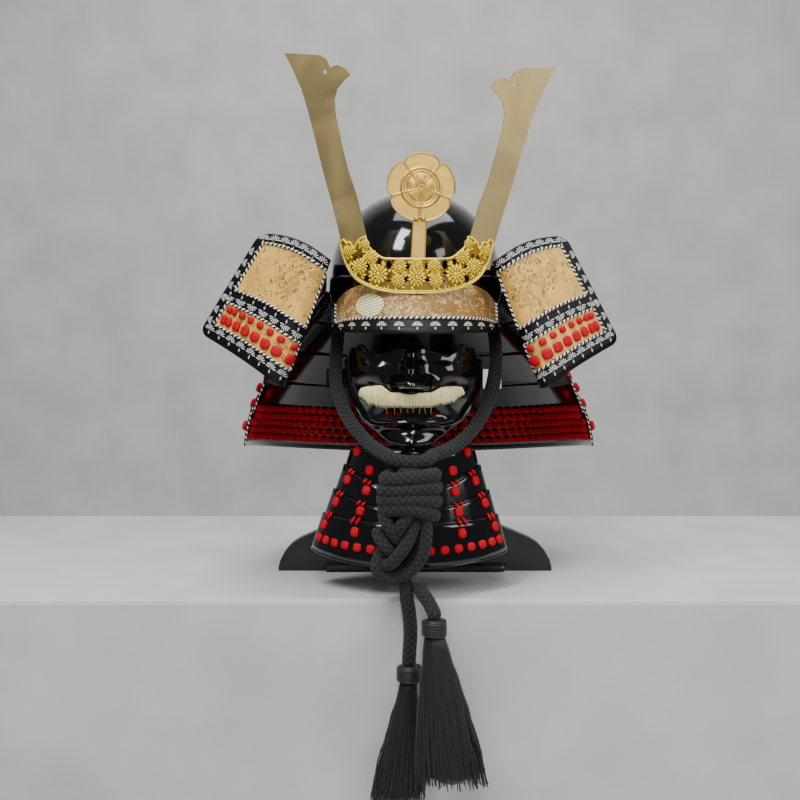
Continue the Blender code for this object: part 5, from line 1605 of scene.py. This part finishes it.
class HELMET_OT_moustache(bpy.types.Operator):
    """The moustache of cream hair"""

    bl_idname = "helmet.moustache"
    bl_label = "Moustache"

    def execute(self, context):
        rng = random.Random(7)
        bm = bmesh.new()

        def line(across, share, out):
            """A point of the moustache, share from 0 at its upper edge to 1 at its foot."""
            foot, top = [read_table(MOUSTACHE_SHAPE, across, column) for column in (1, 2)]
            up = mixed(top, foot, share) / MASK_HEIGHT
            x = across * MOUSTACHE_HALF_WIDTH
            angle = math.asin(max(-0.99, min(0.99, x / mask_half_width(up))))
            return turned(set_off(mask_base, angle, up, out))

        under = MOUSTACHE_STAND_OFF - 0.0010
        add_sheet(bm, spaced(-1, 1, 40), spaced(0.06, 0.88, 6), lambda a, s: line(a * 0.97, s, under))
        count = context.scene.helmet_sizes.moustache_hairs
        for i in range(count):
            across = mixed(-0.97, 0.97, (i + rng.uniform(-0.4, 0.4)) / (count - 1))
            lean = 0.06 * across + rng.uniform(-0.02, 0.02)
            lift = rng.uniform(0.0, 0.0020)
            long = rng.uniform(0.95, 1.02)
            route = [line(max(-1.0, min(1.0, across + lean * s)), mixed(rng.uniform(-0.01, 0.02), long, s),
                          under + (lift + 0.0008) * math.sin(math.pi * (0.12 + 0.72 * s)))
                     for s in spaced(0, 1, 6)]
            add_tube(bm, route, lambda s: 0.00072 * (1 - 0.7 * s ** 2), 4)
        # A few loose hairs hang over the mouth.
        for i in range(8):
            across = mixed(-0.45, 0.40, i / 7) + rng.uniform(-0.02, 0.02)
            route = [line(across + rng.uniform(-0.015, 0.015) * s, mixed(0.9, rng.uniform(1.25, 1.5), s),
                          MOUSTACHE_STAND_OFF) for s in spaced(0, 1, 4)]
            add_tube(bm, route, 0.00013, 4)
        piece("moustache_hair", bm, ["moustache"], ["moustache"])
        return {"FINISHED"}


class HELMET_OT_throat_guard(bpy.types.Operator):
    """The four lames of the throat guard with their silk knots and cords"""

    bl_idname = "helmet.throat_guard"
    bl_label = "Throat Guard"

    def execute(self, context):
        sizes = context.scene.helmet_sizes
        last = len(THROAT_LAMES) - 1
        for index in range(len(THROAT_LAMES)):
            bm = bmesh.new()
            add_sheet(bm, spaced(-THROAT_ARC, THROAT_ARC, 72), spaced(0, 1, 8),
                      lambda a, s: throat_point(index, a, s, 0.0), (0.2, 0.04))
            piece(f"throat_plate_{index + 1}", bm, ["lacquer"],
                  [f"throat_lame_{index + 1}"], LAME_WALL, side=1.0)
        bm = bmesh.new()
        for index in range(len(THROAT_LAMES)):
            for share in (0.0, 1.0) if index in (0, last) else (0.0,):
                line = [throat_point(index, a, share, -LAME_WALL / 2)
                        for a in spaced(-THROAT_ARC, THROAT_ARC, 72)]
                add_tube(bm, line, 0.0011, 8)
        piece("throat_rolled_edges", bm, ["lacquer"])

        def knot_at(bm, index, angle, share, width, height):
            def base(a, s):
                return throat_point(index, a, s, 0.0)

            out = -normal_of(base, angle, share)
            down = (base(angle, share + 0.05) - base(angle, share)).normalized()
            add_knot(bm, base(angle, share) + out * 0.0012, out, -down, width, height, 0.0050)

        bm = bmesh.new()
        top, foot = THROAT_LAMES[last][:2]
        middle = (THROAT_LACING_SHARE - top) / (foot - top)
        for i in range(16):
            knot_at(bm, last, mixed(-0.88, 0.88, i / 15) * THROAT_ARC, middle, sizes.knot_width, 0.0098)
        piece("throat_row_knots", bm, ["silk"], ["throat_lacing"])

        # Four columns of knots, one on each lame, 11 mm below its upper edge. Under each knot a pair of
        # short slanted cords crosses to the next lame.
        bm = bmesh.new()
        for index, (top, foot, *_) in enumerate(THROAT_LAMES):
            for side in (-1, 1):
                outer = side * mixed(0.86 * 0.88, 0.86, index / last)
                inner = side * mixed(0.50, 0.50 * 0.92, index / last)
                for angle in (outer, inner):
                    share = min(0.55, 0.0110 / (THROAT_HEIGHT * (foot - top)))
                    if index == 0 and angle == outer:
                        share = 0.05
                    knot_at(bm, index, angle * THROAT_ARC, share, sizes.knot_width, 0.0115)
                    if index == last:
                        continue
                    for shift in (-0.028, 0.028):
                        lean = math.copysign(0.03, angle)
                        line = [throat_point(index + 1, (angle + shift + lean * (t - 0.5)) * THROAT_ARC,
                                             mixed(-0.10, 0.10, t), mixed(0.0014, 0.0022, t))
                                for t in spaced(0, 1, 4)]
                        add_tube(bm, line, lambda s: 0.0005 + 0.0014 * math.sin(math.pi * s), 8)
        piece("throat_knots", bm, ["silk"])
        return {"FINISHED"}


class HELMET_OT_crest_holder(bpy.types.Operator):
    """The crest's gilt openwork holder: a pierced plate, a raised rim, chrysanthemums and scrolls"""

    bl_idname = "helmet.crest_holder"
    bl_label = "Crest Holder"

    def execute(self, context):
        rng = random.Random(5)
        foot = holder_foot_z()

        def flat(across, up):
            return Vector((across * HOLDER_HALF_WIDTH, 0.0, foot + up * HOLDER_HEIGHT))

        right = []
        for run in HOLDER_OUTLINE:
            right += smooth_route([flat(a, u) for a, u in run], 0.0025)[1 if right else 0:]
        outline = right + [Vector((-p.x, 0.0, p.z)) for p in right[-2:0:-1]]
        body = bmesh.new()
        add_prism(body, outline, HOLDER_WALL)
        gaps = [(side * a, u, r) for a, u, r in HOLDER_GAPS for side in (-1, 1)]
        holes = bmesh.new()
        for across, up, radius in gaps:
            stretch = Matrix.Diagonal((1.0, 1.0, rng.uniform(1.1, 1.5), 1.0))
            where = Matrix.Translation(flat(across, up)) @ stretch
            add_bore(holes, where, 1.15 * radius * HOLDER_HEIGHT, 8 * HOLDER_WALL, 9)
        plate = cut(context, body, holes)
        bmesh.ops.triangulate(plate, faces=plate.faces)
        for face in plate.faces:
            face.smooth = False

        bm = bmesh.new()
        add_tube(bm, outline + outline[:1], 0.0012, 8)
        inset = [Vector((p.x * 0.965, -0.0004, mixed(p.z, foot + 0.35 * HOLDER_HEIGHT, 0.10)))
                 for p in outline if p.z < foot + 0.55 * HOLDER_HEIGHT]
        add_tube(bm, sorted(inset, key=lambda p: p.x), 0.0007, 6)

        blossoms = [(side * a, u, r) for a, u, r in HOLDER_FLOWERS for side in (-1, 1)] + list(HOLDER_MIDDLE)
        for across, up, radius in blossoms:
            size = 1.18 * radius * HOLDER_HEIGHT
            middle = flat(across, up)
            for ring, (reach, petal, count, lift) in enumerate(HOLDER_PETALS):
                for i in range(count):
                    angle = math.tau * (i + 0.5 * ring) / count
                    way = Vector((math.cos(angle), 0.0, math.sin(angle))) * reach * size
                    add_ball(bm, middle + way + Vector((0, -lift, 0)),
                             (petal * size, 0.0016, petal * size * 0.50), angle, 6, 4)
            add_ball(bm, middle + Vector((0, -0.0026, 0)), (0.24 * size, 0.0014, 0.24 * size), 0.0, 10, 6)
            # Leaves round each flower, left out where a gap is.
            for i in range(7):
                angle = math.tau * (i + rng.uniform(-0.3, 0.3)) / 7
                at = middle + Vector((math.cos(angle), 0.0, math.sin(angle))) * size * 1.28
                if any((at - flat(a, u)).length < (r + 0.022) * HOLDER_HEIGHT for a, u, r in gaps):
                    continue
                if not inside(outline, at, 0.0022):
                    continue
                add_ball(bm, at + Vector((0, -0.0003, 0)), (0.0026, 0.0010, 0.0012),
                         angle + rng.uniform(0.6, 1.2), 8, 4)
        for across, up, size, start in HOLDER_SCROLLS:
            for side in (-1, 1):
                line = []
                for t in spaced(0, 1, 16):
                    angle = start + 4.6 * t
                    reach = size * HOLDER_HEIGHT * (1 - 0.72 * t)
                    line.append(flat(side * across, up) + Vector((side * reach * math.cos(angle), -0.0004,
                                                                  reach * math.sin(angle))))
                add_tube(bm, line, 0.00065, 6)
        add_ball(bm, flat(0.0, 0.27) + Vector((0, -0.0034, 0)), (0.0021, 0.0018, 0.0021), 0.0, 14, 10)

        for layer in (plate, bm):
            for vert in layer.verts:
                vert.co.y += holder_front_y(vert.co.x)
        # The pierced plate takes the darker gilt as painted shade in the hollows behind the bright relief.
        piece("holder_openwork", plate, ["hollow_shade_gilt"], ["crest_holder"])
        piece("holder_relief", bm, ["gilt"])
        dress(["holder_pin"], "gilt")
        return {"FINISHED"}


class HELMET_OT_crest(bpy.types.Operator):
    """The gilt crest: a five-lobed dish with a ring and a raised blossom, on its flat stem"""

    bl_idname = "helmet.crest"
    bl_label = "Crest"

    def execute(self, context):
        front = holder_front_y(STEM_WIDTH) + HOLDER_WALL - CREST_WALL
        lobe = math.tau / CREST_LOBES
        ring = CREST_RING_RADIUS - CREST_RING_WIDTH / 2

        def from_notch(angle):
            """How far round from the nearest notch, as a share of a lobe."""
            share = (angle / math.tau + 0.25) * CREST_LOBES % 1.0
            return min(share, 1 - share)

        def edge(angle):
            return CREST_RADIUS * (1 - 0.15 * math.exp(-from_notch(angle) / 0.085))

        def place(u, v):
            angle = math.tau * u
            r = edge(angle) * v
            seam = from_notch(angle) * lobe * max(r, 0.002)
            rise = 0.0011 * hump(r, ring, 0.0011) + 0.0006 * hump(r, ring - 0.0034, 0.0007)
            rise += 0.0008 * hump(seam, 0.0, 0.0007) * (1 if r > 0.003 else 0)
            rise += 0.0007 * hump(v, 1.0, 0.022)
            if r < ring - 0.0036:
                petal = math.sin(math.pi * from_notch(angle))
                rise += 0.0010 * petal * math.sin(math.pi * min(1.0, r / (ring - 0.0036)))
                rise += 0.0005 * math.cos(25 * angle) ** 2 * hump(r, 0.0062, 0.0028)
                rise -= 0.0008 * hump(r, ring - 0.0042, 0.0012) * petal
            rise += 0.0009 * hump(r, 0.0022, 0.0007)
            return Vector((r * math.cos(angle), front - rise, CREST_CENTRE_Z + r * math.sin(angle)))

        bm = bmesh.new()
        add_round_sheet(bm, spaced(0, 1, 200), spaced(0, 1, 64), place)
        # Two rivets low on the dish join it to its stem.
        for x in (-0.0037, 0.0037):
            add_ball(bm, Vector((x, front - 0.0004, CREST_CENTRE_Z - 0.90 * CREST_RADIUS)),
                     (0.0016, 0.0011, 0.0016), 0.0, 12, 8)
        pivot = Matrix.Translation((0.0, 0.0, STEM_FOOT_Z))
        lean = pivot @ Matrix.Rotation(CREST_LEAN, 4, "Y") @ pivot.inverted()
        bmesh.ops.transform(bm, matrix=lean, verts=bm.verts)
        piece("crest_dish", bm, ["crest"], ["crest"], CREST_WALL * 0.9, side=1.0)

        # Raised edges run down both sides of the stem.
        bm = bmesh.new()
        stem = front + CREST_WALL + FIT_GAP
        for side in (-1, 1):
            line = [Vector((side * STEM_WIDTH / 2 * (1 - 0.15 * t) * 0.96, stem - 0.0002,
                            mixed(STEM_FOOT_Z, CREST_CENTRE_Z - CREST_RING_RADIUS, t)))
                    for t in spaced(0, 1, 8)]
            add_tube(bm, line, 0.0007, 6)
        bmesh.ops.transform(bm, matrix=lean, verts=bm.verts)
        piece("stem_edges", bm, ["crest"])
        dress(["crest_stem"], "crest")
        return {"FINISHED"}


class HELMET_OT_metalwork(bpy.types.Operator):
    """The satin brass of the horns and the stand's black wood"""

    bl_idname = "helmet.metalwork"
    bl_label = "Horns and Stand"

    def execute(self, context):
        dress(["horn_left", "horn_right"], "horn")
        dress(["stand_foot", "stand_board", "stand_post", "stand_head", "stand_rest"], "wood")
        return {"FINISHED"}


OPERATORS = (HELMET_OT_stage, HELMET_OT_chin_cord, HELMET_OT_tassels, HELMET_OT_bowl, HELMET_OT_visor,
             HELMET_OT_neck_guard, HELMET_OT_wings, HELMET_OT_mask, HELMET_OT_moustache,
             HELMET_OT_throat_guard, HELMET_OT_crest_holder, HELMET_OT_crest, HELMET_OT_metalwork)


class HELMET_PT_panel(bpy.types.Panel):
    """Lists the helmet's pieces, sizes and colours"""

    bl_label = "Samurai Helmet"
    bl_idname = "HELMET_PT_panel"
    bl_space_type = "VIEW_3D"
    bl_region_type = "UI"
    bl_category = "Helmet"

    def draw(self, context):
        for group in (context.scene.helmet_sizes, context.scene.helmet_colours):
            for name in type(group).__annotations__:
                self.layout.prop(group, name)
        for operator in OPERATORS:
            self.layout.operator(operator.bl_idname)


CLASSES = (HelmetSizes, HelmetColours, *OPERATORS, HELMET_PT_panel)


def register():
    for item in CLASSES:
        bpy.utils.register_class(item)
    bpy.types.Scene.helmet_sizes = bpy.props.PointerProperty(type=HelmetSizes)
    bpy.types.Scene.helmet_colours = bpy.props.PointerProperty(type=HelmetColours)


def unregister():
    del bpy.types.Scene.helmet_colours
    del bpy.types.Scene.helmet_sizes
    for item in reversed(CLASSES):
        bpy.utils.unregister_class(item)


def main():
    register()
    for operator in OPERATORS:
        group, name = operator.bl_idname.split(".")
        getattr(getattr(bpy.ops, group), name)()


if __name__ == "__main__":
    main()
